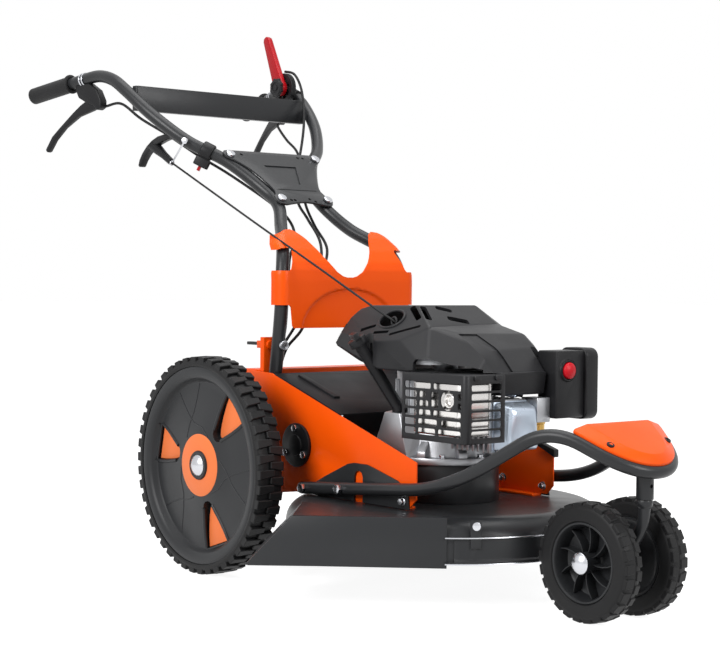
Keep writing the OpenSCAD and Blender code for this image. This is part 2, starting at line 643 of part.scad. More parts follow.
module muffler_guard() color([0.18, 0.18, 0.18]) placed() difference() {
    guard_t = 3;
    slot_h = 11;
    rows = 6;
    pitch = (guard_z1 - guard_z0 - 10) / rows;
    translate([guard_x0, guard_y0, guard_z0]) cube([guard_x1 - guard_x0, guard_y1 - guard_y0, guard_z1 - guard_z0]);
    translate([guard_x0 - 1, guard_y0 + guard_t, guard_z0 - 1])
        cube([guard_x1 - guard_x0 + 1 - guard_t, guard_y1 - guard_y0, guard_z1 - guard_z0 + 1 - guard_t]);
    for (row = [0:rows - 1], col = [0, 1]) translate([guard_x0 + 8 + col * 74, guard_y0 - 1, guard_z0 + 9 + row * pitch])
        cube([66, guard_t + 2, slot_h]);
    for (row = [0:rows - 1]) translate([guard_x1 - guard_t - 1, guard_y0 + 12, guard_z0 + 9 + row * pitch])
        cube([guard_t + 2, guard_y1 - guard_y0 - 20, slot_h]);
    ycyl(16, guard_y0 - 1, guard_y0 + guard_t + 1, guard_x0 + 113, guard_z0 + 70);
}
cowl_z = guard_z1 + gap;
cowl_rim = [[-105, -128], [0, -150], [118, -146], [206, -78], [212, 56], [165, 122], [-30, 138], [-140, 112], [-150, -88]];
cowl_waist = [[-150, -138], [-5, -146], [108, -132], [172, -64], [180, 60], [130, 110], [-35, 134], [-142, 108]];
cowl_crown = [[-52, -84], [78, -74], [96, 84], [-38, 106], [-102, 62], [-98, -54]];
module cowl_form(inset) {
    tops = [0, 0.4 * cowl_h, cowl_h - inset - 1];
    hull() {
        for (i = [0:2]) translate([0, 0, tops[i]]) linear_extrude(1)
            offset(delta = -inset) polygon([cowl_rim, cowl_waist, cowl_crown][i]);
    }
}
filler_top = [deck_x - 46, -162, engine_z + 208];
filler_r = 11;
sump_z = engine_z + 88;
filler_foot = [deck_x - 14, -case_r - filler_r - 1, sump_z + 9];
filler_dir = unit(filler_top - filler_foot);
filler_l = norm(filler_top - filler_foot);
reel_z = cowl_z + cowl_h - 40;
module engine_cowl() color([0.2, 0.2, 0.2]) placed() {
    difference() {
        translate([deck_x, 0, cowl_z]) cowl_form(0);
        translate([deck_x, 0, cowl_z - 1]) cowl_form(cowl_wall);
        along(filler_foot, filler_dir) cylinder(r = filler_r + 6, h = 2 * filler_l);
        translate(filler_top) cylinder(r = filler_r + 14, h = 60, center = true);
        along(rope_out - 90 * pull_dir, pull_dir) cylinder(r = rope_d / 2 + 4, h = 120);
        zcyl(tank_cap_r + 2, cowl_z + 20, cowl_z + cowl_h + 5, tank_at.x, tank_at.y);
        translate([filter_x0 - 17, filter_y0 - 3, cowl_z - 2]) cube([120, 120, filter_z1 - cowl_z + 9]);
    }
    zcyl(8, reel_z - 6, cowl_z + cowl_h - cowl_wall + 0.5, deck_x, 0);
    for (a = [70, 190, 310]) rotate_about_crank(a)
        translate([case_r - 12, -5, case_top]) cube([10, 10, cowl_z + 11 - case_top]);
    intersection() {
        translate([deck_x, 0, cowl_z]) cowl_form(0);
        for (a = [70, 190, 310]) rotate_about_crank(a) translate([case_r - 12, -5, cowl_z + 6]) cube([200, 10, 5]);
    }
}
module rotate_about_crank(a) { translate([deck_x, 0, 0]) rotate([0, 0, a]) children(); }
tank_at = [deck_x - 66, 80];
tank_cap_r = 20;
module fuel_tank() color([0.15, 0.15, 0.15]) placed() {
    zcyl(24, case_top, cowl_z + 66, tank_at.x, tank_at.y);
    zcyl(12, cowl_z + 60, cowl_z + 84, tank_at.x, tank_at.y);
    zcyl(tank_cap_r, cowl_z + 80, cowl_z + 98, tank_at.x, tank_at.y);
}
module oil_filler() color([0.12, 0.12, 0.12]) placed() {
    zcyl(filler_r, sump_z, sump_z + 12, filler_foot.x, filler_foot.y);
    along(filler_foot, filler_dir) {
        cylinder(r = filler_r, h = filler_l);
        translate([0, 0, filler_l - 2]) cylinder(r = filler_r + 6, h = 14);
        translate([-5, -filler_r - 8, filler_l + 10]) cube([10, 2 * filler_r + 16, 12]);
    }
}
carb_x = deck_x + 172;
carb_y = cyl_y1 + 2;
carb_z = engine_z + 80;
module carburettor() color("silver") placed() {
    translate([carb_x, carb_y, carb_z]) cube([38, 32, 42]);
    xcyl(15, carb_x - 16, carb_x + 2, carb_y + 16, carb_z + 22);
    translate([cyl_x1 - 7, cyl_y1 + gap, carb_z + 8]) cube([6, carb_y - cyl_y1 + 2, 26]);
    zcyl(15, carb_z - 20, carb_z + 1, carb_x + 19, carb_y + 16);
}
filter_x0 = carb_x + 6;
filter_x1 = deck_x + 224;
filter_y0 = carb_y + 32 + gap;
filter_y1 = filter_y0 + 68;
filter_z0 = engine_z + 86;
filter_z1 = engine_z + 202;
primer_r = 14;
primer_at = [filter_y0 + 26, filter_z1 - 34];
module air_cleaner() color([0.16, 0.16, 0.16]) placed() {
    difference() {
        translate([filter_x0, filter_y0, filter_z0]) cube([filter_x1 - filter_x0, filter_y1 - filter_y0, filter_z1 - filter_z0]);
        xcyl(primer_r + gap, filter_x1 - 12, filter_x1 + 1, primer_at.x, primer_at.y);
    }
    difference() {
        xcyl(primer_r + 5, filter_x1 - 1, filter_x1 + 4, primer_at.x, primer_at.y);
        xcyl(primer_r + gap, filter_x1 - 12, filter_x1 + 5, primer_at.x, primer_at.y);
    }
    translate([filter_x0 - 14, filter_y1 + gap, filter_z0 - 4]) rotate([90, 0, 0]) mirror([0, 0, 1])
        linear_extrude(30) rounded(filter_x1 - filter_x0 + 20, filter_z1 - filter_z0 + 8, 16);
}
module primer_button() color("crimson") placed() {
    xcyl(primer_r, filter_x1 - 7, filter_x1 + 7, primer_at.x, primer_at.y);
    translate([filter_x1 + 7, primer_at.x, primer_at.y]) rotate([0, 90, 0]) dome(primer_r, 5);
}
plug_from = [cyl_x1 + 6, cyl_y0 + 22, cyl_z1 + 9];
module spark_plug() color([0.3, 0.25, 0.22]) placed() {
    zcyl(7, cyl_z1, cyl_z1 + 10, plug_from.x - 10, plug_from.y + 30);
    translate(plug_from + [-10, -10, 4]) rotate([-90, 0, 0]) cylinder(r = 8, h = 56);
}

// Turning parts of the engine
module crankshaft() color("silver") placed() {
    zcyl(crank_r, deck_clear + 22, case_top + 40, deck_x, 0);
    zcyl(case_r - 30, engine_z + 50, engine_z + 66, deck_x, 0);
    zcyl(case_r - 30, engine_z + 92, engine_z + 108, deck_x, 0);
    zcyl(30, deck_clear + 22, deck_clear + 40, deck_x, 0);
    difference() {
        zcyl(engine_pulley_r + 3, belt_z, belt_z + belt_t, deck_x, 0);
        translate([deck_x, 0, belt_z + belt_t / 2]) rotate_extrude()
            translate([engine_pulley_r - 3, -4]) square([10, 8]);
    }
}
module blade() color("gray") placed() {
    translate([deck_x - blade_w / 2, -blade_l / 2, deck_clear + 17]) cube([blade_w, blade_l, 5]);
    zcyl(14, deck_clear + 7, deck_clear + 17, deck_x, 0);
}
module flywheel() color("gray") placed() difference() {
    union() {
        zcyl(flywheel_r, case_top + 12, case_top + 26, deck_x, 0);
        zcyl(crank_r + 10, case_top + 1, case_top + 38, deck_x, 0);
        for (a = [0:30:330]) rotate_about_crank(a)
            translate([30, -2, case_top + 25]) cube([flywheel_r - 34, 4, 16]);
    }
    zcyl(crank_r + 0.02, case_top, case_top + 50, deck_x, 0);
}
reel_r = 34;
module starter_reel() color("gray") placed() difference() {
    zcyl(reel_r, reel_z - 3, reel_z + 13, deck_x, 0);
    zcyl(8 + run, reel_z - 8, reel_z + 20, deck_x, 0);
    translate([deck_x, 0, reel_z + 5]) rotate_extrude() translate([reel_r - 6, -4]) square([10, 8]);
}

// Handlebar
module handle_tubes() color("dimgray") placed() both() pipe(handle_run, handle_d, tube_wall, 14, [0, 1, 0]);
module grips() color([0.08, 0.08, 0.08]) placed() both() along(grip_start, grip_dir) difference() {
    union() {
        cylinder(r = grip_r, h = grip_l + 4);
        cylinder(r = grip_r + 3, h = 6);
    }
    translate([0, 0, -1]) cylinder(r = handle_r + gap, h = grip_l + 1 + gap);
}
bar_at = bend4(handle[8], handle[9], handle[10], handle[11], 2 / 3);
module crossbar() color("dimgray") placed() {
    end_y = -bar_at.y - 1.05 * handle_r - gap;
    face_y = end_y - sheet_t;
    translate([bar_at.x - 1, 0, bar_at.z - bar_h / 2]) {
        translate([0, -face_y, 0]) cube([sheet_t, 2 * face_y, bar_h]);
        for (z = [0, bar_h - sheet_t]) translate([-12, -end_y, z]) cube([13, 2 * end_y, sheet_t]);
        both() translate([-12, face_y, 0]) cube([13, sheet_t, bar_h]);
    }
}
gusset_dir = unit([handle[7].x - handle[5].x, 0, handle[7].z - handle[5].z]);
gusset_l = norm([handle[7].x - handle[5].x, 0, handle[7].z - handle[5].z]);
gusset_t = 4;
module on_gusset() {
    translate([handle[5].x, 0, handle[5].z]) rotate([0, -atan2(gusset_dir.z, gusset_dir.x), 0])
        mirror([0, 0, 1]) translate([0, 0, handle_r + 0.8]) children();
}
module gusset_plate() color("dimgray") placed() on_gusset() difference() {
    linear_extrude(gusset_t) polygon(concat(
        [[-18, waist_w / 2 + 8], [-18, -waist_w / 2 - 8]],
        [for (t = [0:0.1:1]) [mix(0, gusset_l + 16, t), handle[7].y - 14 + (1 - t * t) * (-handle[7].y - waist_w / 2 + 6)]],
        [for (t = [1:-0.1:0]) [mix(0, gusset_l + 16, t), -handle[7].y + 14 - (1 - t * t) * (-handle[7].y - waist_w / 2 + 6)]]));
    for (s = [-1, 1]) translate([gusset_l, s * -handle[7].y * 0.42, -1]) cylinder(r = 5, h = gusset_t + 2);
}
shield_x = foot.x + 19 + handle_r + 0.5;
shield_z0 = crest_z + 80;
shield_t = 3;
shield_y = foot_w / 2 + handle_r + 0.7;
module shield_profile() {
    polygon(concat(
        [[shield_x, shield_z0], [shield_x, shield_z0 + 106]],
        [for (t = [0, 1]) [mix(shield_x - 20, shield_x - 66, t), mix(shield_z0 + 160, shield_z0 + 193, t)]],
        [for (t = [1, 0]) [mix(shield_x - 17.5, shield_x - 64, t), mix(shield_z0 + 163, shield_z0 + 196, t)]],
        [[shield_x + shield_t, shield_z0 + 107], [shield_x + shield_t, shield_z0]]));
}
module shield_front() {
    difference() {
        polygon([
            [-115, shield_z0], [115, shield_z0], [120, shield_z0 + 31], [shield_y + shield_t, shield_z0 + 31],
            [shield_y + shield_t, shield_z0 + 92], [shield_y - 27, shield_z0 + 92],
            [shield_y - 27, shield_z0 + 124], [shield_y, shield_z0 + 124], [shield_y - 2, shield_z0 + 158],
            [108, shield_z0 + 194], [-108, shield_z0 + 194], [2 - shield_y, shield_z0 + 158],
            [-shield_y, shield_z0 + 124], [27 - shield_y, shield_z0 + 124],
            [27 - shield_y, shield_z0 + 92], [-shield_y - shield_t, shield_z0 + 92],
            [-shield_y - shield_t, shield_z0 + 31], [-120, shield_z0 + 31]]);
        polygon(concat([[-84, shield_z0 + 200], [84, shield_z0 + 200]],
            [for (a = [0:12:180]) [84 * cos(a) * (0.75 + 0.25 * abs(cos(a))), shield_z0 + 190 - 86 * sin(a)]]));
    }
}
module leg_shield() color("orangered") placed() {
    intersection() {
        slab(-200, 400) shield_profile();
        translate([-100, 0, 0]) rotate([90, 0, 90]) linear_extrude(400) shield_front();
    }
    both() translate([shield_x - 24, shield_y, shield_z0 + 31]) cube([25, shield_t, 61]);
}

// Levers under the grips, drawn in the grip's own upright plane with X to the rear
module at_grip() { translate(handle[13]) rotate([0, 0, grip_turn]) children(); }
lever_pivot = [-4, -38];
lever_t = 12;
lever_pin_r = 3;
module squeeze_lever() at_grip() difference() {
    union() {
        slab(-lever_t / 2, lever_t) polygon(ribbon(curve3(lever_pivot, [26, -66], [66, -138], 10), 15));
        ycyl(10, -lever_t / 2, lever_t / 2, lever_pivot.x, lever_pivot.y);
    }
    ycyl(lever_pin_r + run, -lever_t, lever_t, lever_pivot.x, lever_pivot.y);
}
module drive_lever() color([0.1, 0.1, 0.1]) placed() squeeze_lever();
module brake_lever() color([0.1, 0.1, 0.1]) placed() mirror([0, 1, 0]) squeeze_lever();
disc_at = [handle[11].x + 3, -handle[11].y - handle_r - 16, handle[11].z + 16];
disc_r = 33;
throttle_at = mix(handle[7], handle[8], 0.5);
throttle_dir = unit(handle[8] - handle[7]);
module clamp_ring(p, d, w) {
    along(p - w / 2 * d, d) difference() {
        cylinder(r = handle_r + 5, h = w);
        translate([0, 0, -1]) cylinder(r = handle_r + 0.9, h = w + 2);
    }
}
module control_brackets() color([0.1, 0.1, 0.1]) placed() {
    both() {
        clamp_ring(handle[13] - 14 * grip_dir * -1, grip_dir, 18);
        at_grip() {
            for (y = [-lever_t / 2 - gap - 4, lever_t / 2 + gap])
                slab(y, 4) polygon([[2, -17], [20, -20], [14, -44], [-4, -56], [-24, -58], [-30, -48], [-20, -24]]);
            translate([-31, -lever_t / 2 - gap - 4, -58]) cube([10, lever_t + 2 * gap + 8, 12]);
            translate([5, -lever_t / 2 - gap - 4, -24.5]) cube([14, lever_t + 2 * gap + 8, 5.5]);
            ycyl(lever_pin_r, -lever_t / 2 - gap - 1, lever_t / 2 + gap + 1, lever_pivot.x, lever_pivot.y);
        }
    }
    clamp_ring(mirrored(handle[11]), mirrored(unit(handle[12] - handle[10])), 16);
    translate([disc_at.x - 10, disc_at.y - 1, handle[11].z - 8]) cube([20, 14 - gap, 18]);
    ycyl(disc_r, disc_at.y - 6, disc_at.y + 6, disc_at.x, disc_at.z);
    ycyl(5, disc_at.y - 20, disc_at.y, disc_at.x, disc_at.z);
    clamp_ring(throttle_at, throttle_dir, 24);
    along(throttle_at, throttle_dir) {
        difference() {
            translate([handle_r + 3, -9, -15]) cube([18, 18, 30]);
            translate([handle_r + 6, -4.5, -16]) cube([20, 9, 32]);
        }
        ycyl(2, -8, 8, handle_r + 14, 0);
    }
}
module throttle_lever() color("crimson") placed() along(throttle_at, throttle_dir) difference() {
    union() {
        ycyl(5, -4.2, 4.2, handle_r + 14, 0);
        translate([handle_r + 14, -4.2, -3]) cube([16, 8.4, 6]);
    }
    ycyl(2 + run, -6, 6, handle_r + 14, 0);
}
module blade_lever() color("crimson") placed() translate([disc_at.x, disc_at.y - 6 - gap, disc_at.z]) rotate([90, 0, 0])
    difference() {
        union() {
            cylinder(r = 17, h = 12);
            linear_extrude(12) polygon([[-19, 2], [-57, 104], [-56, 112], [-48, 117], [-40, 113], [-36, 106], [12, 10]]);
        }
        translate([0, 0, -1]) cylinder(r = 5 + run, h = 16);
    }
module starter_handle() color([0.12, 0.12, 0.12]) placed() along(rope_guide + (wire_r + 2 * gap) * pull_dir, pull_dir) rotate([0, 0, pull_turn]) {
    cylinder(r1 = 7, r2 = 9, h = 48);
    translate([0, 7, 0]) rotate([90, 0, 0]) linear_extrude(14)
        polygon(ribbon(curve3([-46, 34], [0, 70], [46, 34], 12), 13));
}
module clamp_lever() {
    translate([0, -post_y, 0]) difference() {
        union() {
            ycyl(6, -7 + gap, 7 - gap, clamp_x, clamp_z);
            translate([clamp_x - 46, -6, clamp_z - 2]) cube([46, 12, 6]);
        }
        ycyl(3 + run, -12, 12, clamp_x, clamp_z);
    }
}
module clamp_lever_right() color([0.1, 0.1, 0.1]) placed() clamp_lever();
module clamp_lever_left() color([0.1, 0.1, 0.1]) placed() mirror([0, 1, 0]) clamp_lever();

// Cables, rope and plated fittings
module starter_rope() color([0.05, 0.05, 0.05]) placed()
    pipe([rope_out - 75 * pull_dir, mix(rope_out, rope_guide, 0.5), rope_guide + (wire_r + gap) * pull_dir], rope_d, 0, 8, [0, 1, 0]);
drive_cable = [
    [-491, -237, 897], [-464, -223, 894], [-418, -212, 897], [-358, -202, 863], [-296, -178, 828], [-252, -136, 788],
    [-212, -84, 749], [-130, -40, 690], [-80, -34, 655], [-30, -60, 620], [4, -98, 580], [16, -118, 520], [18, -124, 450], [30, -118, 400],
    [62, -100, 376]
];
blade_cable = [
    [-414, 203, 997], [-380, 204, 987], [-354, 204, 947], [-323, 186, 877], [-288, 148, 800], [-226, 84, 745],
    [-150, 40, 695], [-84, 14, 660], [-20, -4, 610], [14, -40, 540], [22, -82, 470], [36, -96, 410], [66, -84, 375]
];
brake_cable = [
    [-491, 237, 897], [-464, 223, 879], [-418, 212, 848], [-362, 198, 818], [-290, 158, 769], [-216, 100, 735],
    [-150, 60, 690], [-90, 36, 648], [-30, 20, 600], [8, -20, 530], [14, -66, 460], [30, -78, 405], [66, -66, 375]
];
module control_cables() color([0.05, 0.05, 0.05]) placed()
    for (line = [drive_cable, blade_cable, brake_cable]) pipe(smooth(line, 2), cable_d, 0, 8, [0, 1, 0.2]);
module hex_head(r, h) { cylinder(r = r, h = h, $fn = 6); }
module zinc_fittings() color("silver") placed() {
    both() {
        for (x = [172, 275]) translate([x, -rail_y - frame_r - gap, mix(rail_rear.z, low_bend.z, (x - rail_rear.x) / (low_bend.x - rail_rear.x))])
            rotate([90, 0, 0]) hex_head(9, 7);
        for (a = [90, 210, 330])
            translate([lay_x + (flange_r - 9) * cos(a), -half_w - 6, lay_z + (flange_r - 9) * sin(a)])
                rotate([90, 0, 0]) hex_head(7, 5);
        xcyl(9, foot.x + 13 + handle_r + 1, foot.x + 13 + handle_r + 7, -foot_w / 2, clamp_z);
        for (at = [[0, handle[5].y], [gusset_l, handle[7].y]]) on_gusset()
            translate([at[0], at[1], gusset_t]) cylinder(r = 9, h = 5);
    }
    rotate_about_crank(tab_at) xcyl(7, deck_r + gap + 2 * sheet_t, deck_r + gap + 2 * sheet_t + 5, 0, deck_clear + 64);
    along(rope_guide, pull_dir) rotate_extrude() translate([rope_d / 2 + gap + wire_r, 0]) circle(wire_r);
    wire_side = unit(cross([0, 0, 1], handle[9] - handle[7]));
    wire_foot = handle[8] + (handle_r + gap) * wire_side;
    wire_from = wire_foot + 9 * wire_side;
    wire_dir = unit(rope_guide - wire_from);
    along(wire_from, wire_dir) cylinder(r = wire_r, h = norm(rope_guide - wire_from) - rope_d / 2 - wire_r);
    along(wire_foot, wire_side) cylinder(r = 6, h = 12);
}

side_plates();
rear_crossmember();
top_cover();
deck_shell();
discharge_chute();
deck_skirt();
frame_brackets();
front_frame();
nose_plate();
head_tube();
bearing_flanges();
gearbox();
drive_belt();
drive_chain();
engine_stand();
crankcase();
rocker_cover();
muffler();
muffler_guard();
engine_cowl();
fuel_tank();
oil_filler();
carburettor();
air_cleaner();
spark_plug();
handle_tubes();
crossbar();
gusset_plate();
leg_shield();
grips();
control_brackets();
control_cables();
zinc_fittings();
starter_rope();
rear_axle();
layshaft();
tyre_right();
rim_right();
tyre_left();
rim_left();
caster_fork();
caster_axle();
caster_tyre_right();
caster_rim_right();
caster_tyre_left();
caster_rim_left();
crankshaft();
blade();
flywheel();
box_pulley();
drive_lever();
brake_lever();
blade_lever();
clutch_arm();
throttle_lever();
starter_handle();
starter_reel();
primer_button();
clamp_lever_right();
clamp_lever_left();

module tyre_right() color([0.1, 0.1, 0.1]) placed() on_right() rear_tyre();
module tyre_left() color([0.1, 0.1, 0.1]) placed() on_left() rear_tyre();
module rim_right() placed() on_right() rear_rim();
module rim_left() placed() on_left() rear_rim();
module caster_tyre_right() color([0.1, 0.1, 0.1]) placed() on_caster(-1) caster_tyre();
module caster_tyre_left() color([0.1, 0.1, 0.1]) placed() on_caster(1) caster_tyre();
module caster_rim_right() color([0.15, 0.15, 0.15]) placed() on_caster(-1) caster_rim();
module caster_rim_left() color([0.15, 0.15, 0.15]) placed() on_caster(1) caster_rim();
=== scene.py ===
import bpy
import json
import math
from mathutils import Matrix, Vector

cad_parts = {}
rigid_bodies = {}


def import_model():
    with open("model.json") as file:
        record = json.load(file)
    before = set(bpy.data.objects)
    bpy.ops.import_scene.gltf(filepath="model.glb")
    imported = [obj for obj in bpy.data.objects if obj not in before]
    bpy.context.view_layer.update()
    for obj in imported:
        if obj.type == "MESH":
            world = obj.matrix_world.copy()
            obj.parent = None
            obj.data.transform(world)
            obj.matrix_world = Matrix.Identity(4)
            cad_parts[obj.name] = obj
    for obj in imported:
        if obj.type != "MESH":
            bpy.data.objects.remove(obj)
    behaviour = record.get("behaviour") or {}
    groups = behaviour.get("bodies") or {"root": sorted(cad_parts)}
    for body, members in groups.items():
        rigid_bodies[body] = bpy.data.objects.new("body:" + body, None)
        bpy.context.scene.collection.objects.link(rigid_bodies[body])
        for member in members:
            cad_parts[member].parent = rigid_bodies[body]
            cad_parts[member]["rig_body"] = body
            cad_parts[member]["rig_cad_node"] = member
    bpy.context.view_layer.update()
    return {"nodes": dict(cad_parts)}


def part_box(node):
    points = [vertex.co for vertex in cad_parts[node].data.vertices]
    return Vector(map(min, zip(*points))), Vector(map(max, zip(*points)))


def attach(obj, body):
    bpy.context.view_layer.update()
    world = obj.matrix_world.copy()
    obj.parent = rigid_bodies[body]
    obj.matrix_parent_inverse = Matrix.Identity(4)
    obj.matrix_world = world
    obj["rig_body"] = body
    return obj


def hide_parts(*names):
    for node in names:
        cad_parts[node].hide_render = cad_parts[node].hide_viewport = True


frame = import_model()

# Camera: a long lens at knee height off the machine's right front corner, 3.2 m away and a shade
# off level, as the photograph was taken. Lengths are in mm, x from the rear axle, y from the middle.
stand_low, stand_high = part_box("engine_stand")
crank_x, crank_y = (stand_low[0] + stand_high[0]) / 2, (stand_low[1] + stand_high[1]) / 2
crank_from_axle = 338


def at(x, y, z):
    """A point of the machine, in mm from the axle, the middle and the ground, in the scene's metres."""
    return Vector((crank_x + (x - crank_from_axle) / 1000, crank_y + y / 1000, z / 1000))


view_azimuth, view_dip, view_roll = (math.radians(a) for a in (50.387, 1.702, 0.546))
ahead = Vector((-math.sin(view_azimuth) * math.cos(view_dip),
                math.cos(view_azimuth) * math.cos(view_dip), -math.sin(view_dip)))
level = Vector((math.cos(view_azimuth), math.sin(view_azimuth), 0))
above = level.cross(ahead)
across = level * math.cos(view_roll) + above * math.sin(view_roll)
upward = above * math.cos(view_roll) - level * math.sin(view_roll)
bpy.ops.object.select_all(action="DESELECT")
bpy.ops.object.camera_add(location=at(2582.4, -2056.7, 543.0))
camera = bpy.context.object
camera.rotation_euler = Matrix((across, upward, -ahead)).transposed().to_euler()
camera.data.lens = 85.1
camera.data.sensor_width = 36
camera.data.sensor_fit = "HORIZONTAL"
camera.data.clip_end = 100
bpy.context.scene.camera = camera

# Floor and light: a white studio sweep that keeps a faint shadow, a large overhead softbox, a key
# softbox left of the camera and a weaker one to its right.
bpy.context.scene.view_settings.view_transform = "Standard"
bpy.ops.object.select_all(action="DESELECT")
bpy.ops.mesh.primitive_plane_add(size=60, location=(0, 0, -0.0004))
floor = bpy.context.object
floor.name = "studio_floor"


def added(tree, kind, values=None, operation=None):
    """A new shader node with some of its sockets set, and its sum if it calculates."""
    node = tree.nodes.new("ShaderNode" + kind)
    if operation:
        node.operation = operation
    for socket, value in (values or {}).items():
        node.inputs[socket].default_value = value
    return node


def seen_rays(tree):
    """1 for a ray that shows the backdrop: straight from the camera, off metal or through glass."""
    path = added(tree, "LightPath")
    first, second = (added(tree, "Math", operation="MAXIMUM") for _ in range(2))
    tree.links.new(path.outputs["Is Camera Ray"], first.inputs[0])
    tree.links.new(path.outputs["Is Glossy Ray"], first.inputs[1])
    tree.links.new(first.outputs[0], second.inputs[0])
    tree.links.new(path.outputs["Is Transmission Ray"], second.inputs[1])
    return second.outputs[0]


sweep = bpy.data.materials.new("white_sweep")
sweep.use_nodes = True
tree = sweep.node_tree
tree.nodes.clear()
matt = added(tree, "BsdfDiffuse", {"Color": (0.40, 0.40, 0.40, 1)})
lift = added(tree, "Math", {1: 0.92}, "MULTIPLY")
glow, both_floor, surface = (added(tree, kind) for kind in ("Emission", "AddShader", "OutputMaterial"))
tree.links.new(seen_rays(tree), lift.inputs[0])
tree.links.new(lift.outputs[0], glow.inputs["Strength"])
tree.links.new(matt.outputs[0], both_floor.inputs[0])
tree.links.new(glow.outputs[0], both_floor.inputs[1])
tree.links.new(both_floor.outputs[0], surface.inputs["Surface"])
floor.data.materials.append(sweep)

studio = bpy.data.worlds.new("white_studio")
studio.use_nodes = True
bpy.context.scene.world = studio
tree = studio.node_tree
dome_level = added(tree, "Math", {1: 0.74, 2: 0.26}, "MULTIPLY_ADD")
tree.links.new(seen_rays(tree), dome_level.inputs[0])
tree.links.new(dome_level.outputs[0], tree.nodes["Background"].inputs["Strength"])
tree.nodes["Background"].inputs["Color"].default_value = (1, 1, 1, 1)

for name, place, aim, watts, width in (
        ("overhead_softbox", (0.1, 0.1, 3.4), (0.1, 0, 0.3), 64, 2.6),
        ("key_softbox", (0.6, -3.6, 2.3), (0.1, 0, 0.4), 124, 1.8),
        ("front_softbox", (3.6, 0.6, 1.9), (0.2, 0, 0.3), 58, 1.6)):
    bpy.ops.object.select_all(action="DESELECT")
    bpy.ops.object.light_add(type="AREA", location=place)
    lamp = bpy.context.object
    lamp.name = name
    lamp.data.energy = watts
    lamp.data.shape = "SQUARE"
    lamp.data.size = width
    lamp.rotation_euler = (Vector(aim) - Vector(place)).to_track_quat("-Z", "Y").to_euler()


# Deck: a round pan pressed from 3 mm steel sheet, painted dark grey, with a bolted chute of folded
# sheet and a rolled skirt round its front. The engine's stand is a welded ring on top.
def chip(red, green, blue):
    """A colour as a paint chip shows it, 0 to 255, for a shader's socket."""
    return tuple(((c / 255 + 0.055) / 1.055) ** 2.4 if c > 10 else c / 255 / 12.92
                 for c in (red, green, blue)) + (1,)


def grain_group():
    """Fine grain and slow mottle of a moulded, painted or cast surface."""
    group = bpy.data.node_groups.new("surface_grain", "ShaderNodeTree")
    for name, way in (("Grain per metre", "INPUT"), ("Mottle", "OUTPUT"), ("Grain", "OUTPUT")):
        group.interface.new_socket(name, in_out=way, socket_type="NodeSocketFloat")
    given = group.nodes.new("NodeGroupInput")
    put_out = group.nodes.new("NodeGroupOutput")
    place = added(group, "TexCoord")
    fine = added(group, "TexNoise", {"Detail": 3})
    slow = added(group, "TexNoise", {"Detail": 5, "Scale": 14})
    for noise in (fine, slow):
        group.links.new(place.outputs["Object"], noise.inputs["Vector"])
    group.links.new(given.outputs["Grain per metre"], fine.inputs["Scale"])
    group.links.new(slow.outputs["Fac"], put_out.inputs["Mottle"])
    group.links.new(fine.outputs["Fac"], put_out.inputs["Grain"])
    return group


surface_grain = grain_group()


slot_of = {}


def finish_of(slot, name, colour, shade, rough, spread, grain, depth, metal=0.0, coat=0.0, shine=0.5):
    """A surface for a slot, its colour and gloss drifting between two values, with its grain as a bump."""
    finish = bpy.data.materials.new(name)
    slot_of[finish.name] = slot
    finish.use_nodes = True
    tree = finish.node_tree
    shader = tree.nodes["Principled BSDF"]
    for socket, value in (("Metallic", metal), ("Coat Weight", coat), ("Coat Roughness", 0.12),
                          ("Specular IOR Level", shine)):
        shader.inputs[socket].default_value = value
    marks = added(tree, "Group")
    marks.node_tree = surface_grain
    marks.inputs["Grain per metre"].default_value = grain
    tint = added(tree, "Mix")
    tint.data_type = "RGBA"
    tint.inputs["A"].default_value = chip(*colour)
    tint.inputs["B"].default_value = chip(*shade)
    gloss = added(tree, "MapRange", {"From Min": 0.25, "From Max": 0.75,
                                     "To Min": rough - spread, "To Max": rough + spread})
    bump = added(tree, "Bump", {"Strength": 0.6, "Distance": depth / 1000})
    tree.links.new(marks.outputs["Mottle"], tint.inputs["Factor"])
    tree.links.new(marks.outputs["Mottle"], gloss.inputs["Value"])
    tree.links.new(marks.outputs["Grain"], bump.inputs["Height"])
    tree.links.new(tint.outputs["Result"], shader.inputs["Base Color"])
    tree.links.new(gloss.outputs["Result"], shader.inputs["Roughness"])
    tree.links.new(bump.outputs["Normal"], shader.inputs["Normal"])
    return finish


def ready(piece):
    """Leaves one object selected and active, for the next tool."""
    bpy.ops.object.select_all(action="DESELECT")
    piece.select_set(True)
    bpy.context.view_layer.objects.active = piece


def worked(*tools):
    """Runs edit tools on the active object, each on its whole mesh."""
    bpy.ops.object.mode_set(mode="EDIT")
    for tool, settings in tools:
        bpy.ops.mesh.select_all(action="SELECT")
        tool(**settings)
    bpy.ops.object.mode_set(mode="OBJECT")


def rounded_off(piece, edge, steps=2, sharp=35):
    """Eases the hard edges by some mm, then shades the faces smooth up to the hard corners."""
    ready(piece)
    if edge:
        bpy.ops.object.modifier_add(type="BEVEL")
        ease = piece.modifiers[-1]
        ease.width = edge / 1000
        ease.segments = steps
        ease.limit_method = "ANGLE"
        ease.angle_limit = math.radians(sharp)
        ease.use_clamp_overlap = False
        bpy.ops.object.modifier_apply(modifier=ease.name)
    bpy.ops.object.shade_smooth_by_angle(angle=math.radians(sharp))
    return piece


def fitted(piece, name, finish, *stands_for, body="chassis", slot=None):
    """Names a finished piece, paints it and fixes it to the body that carries it."""
    slot = slot or slot_of[finish.name]
    piece.name = name
    piece.data.name = name
    piece.data.materials.clear()
    piece.data.materials.append(finish)
    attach(piece, body)
    if stands_for:
        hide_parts(*stands_for)
    return piece


merged = (bpy.ops.mesh.remove_doubles, {"threshold": 0.00001})


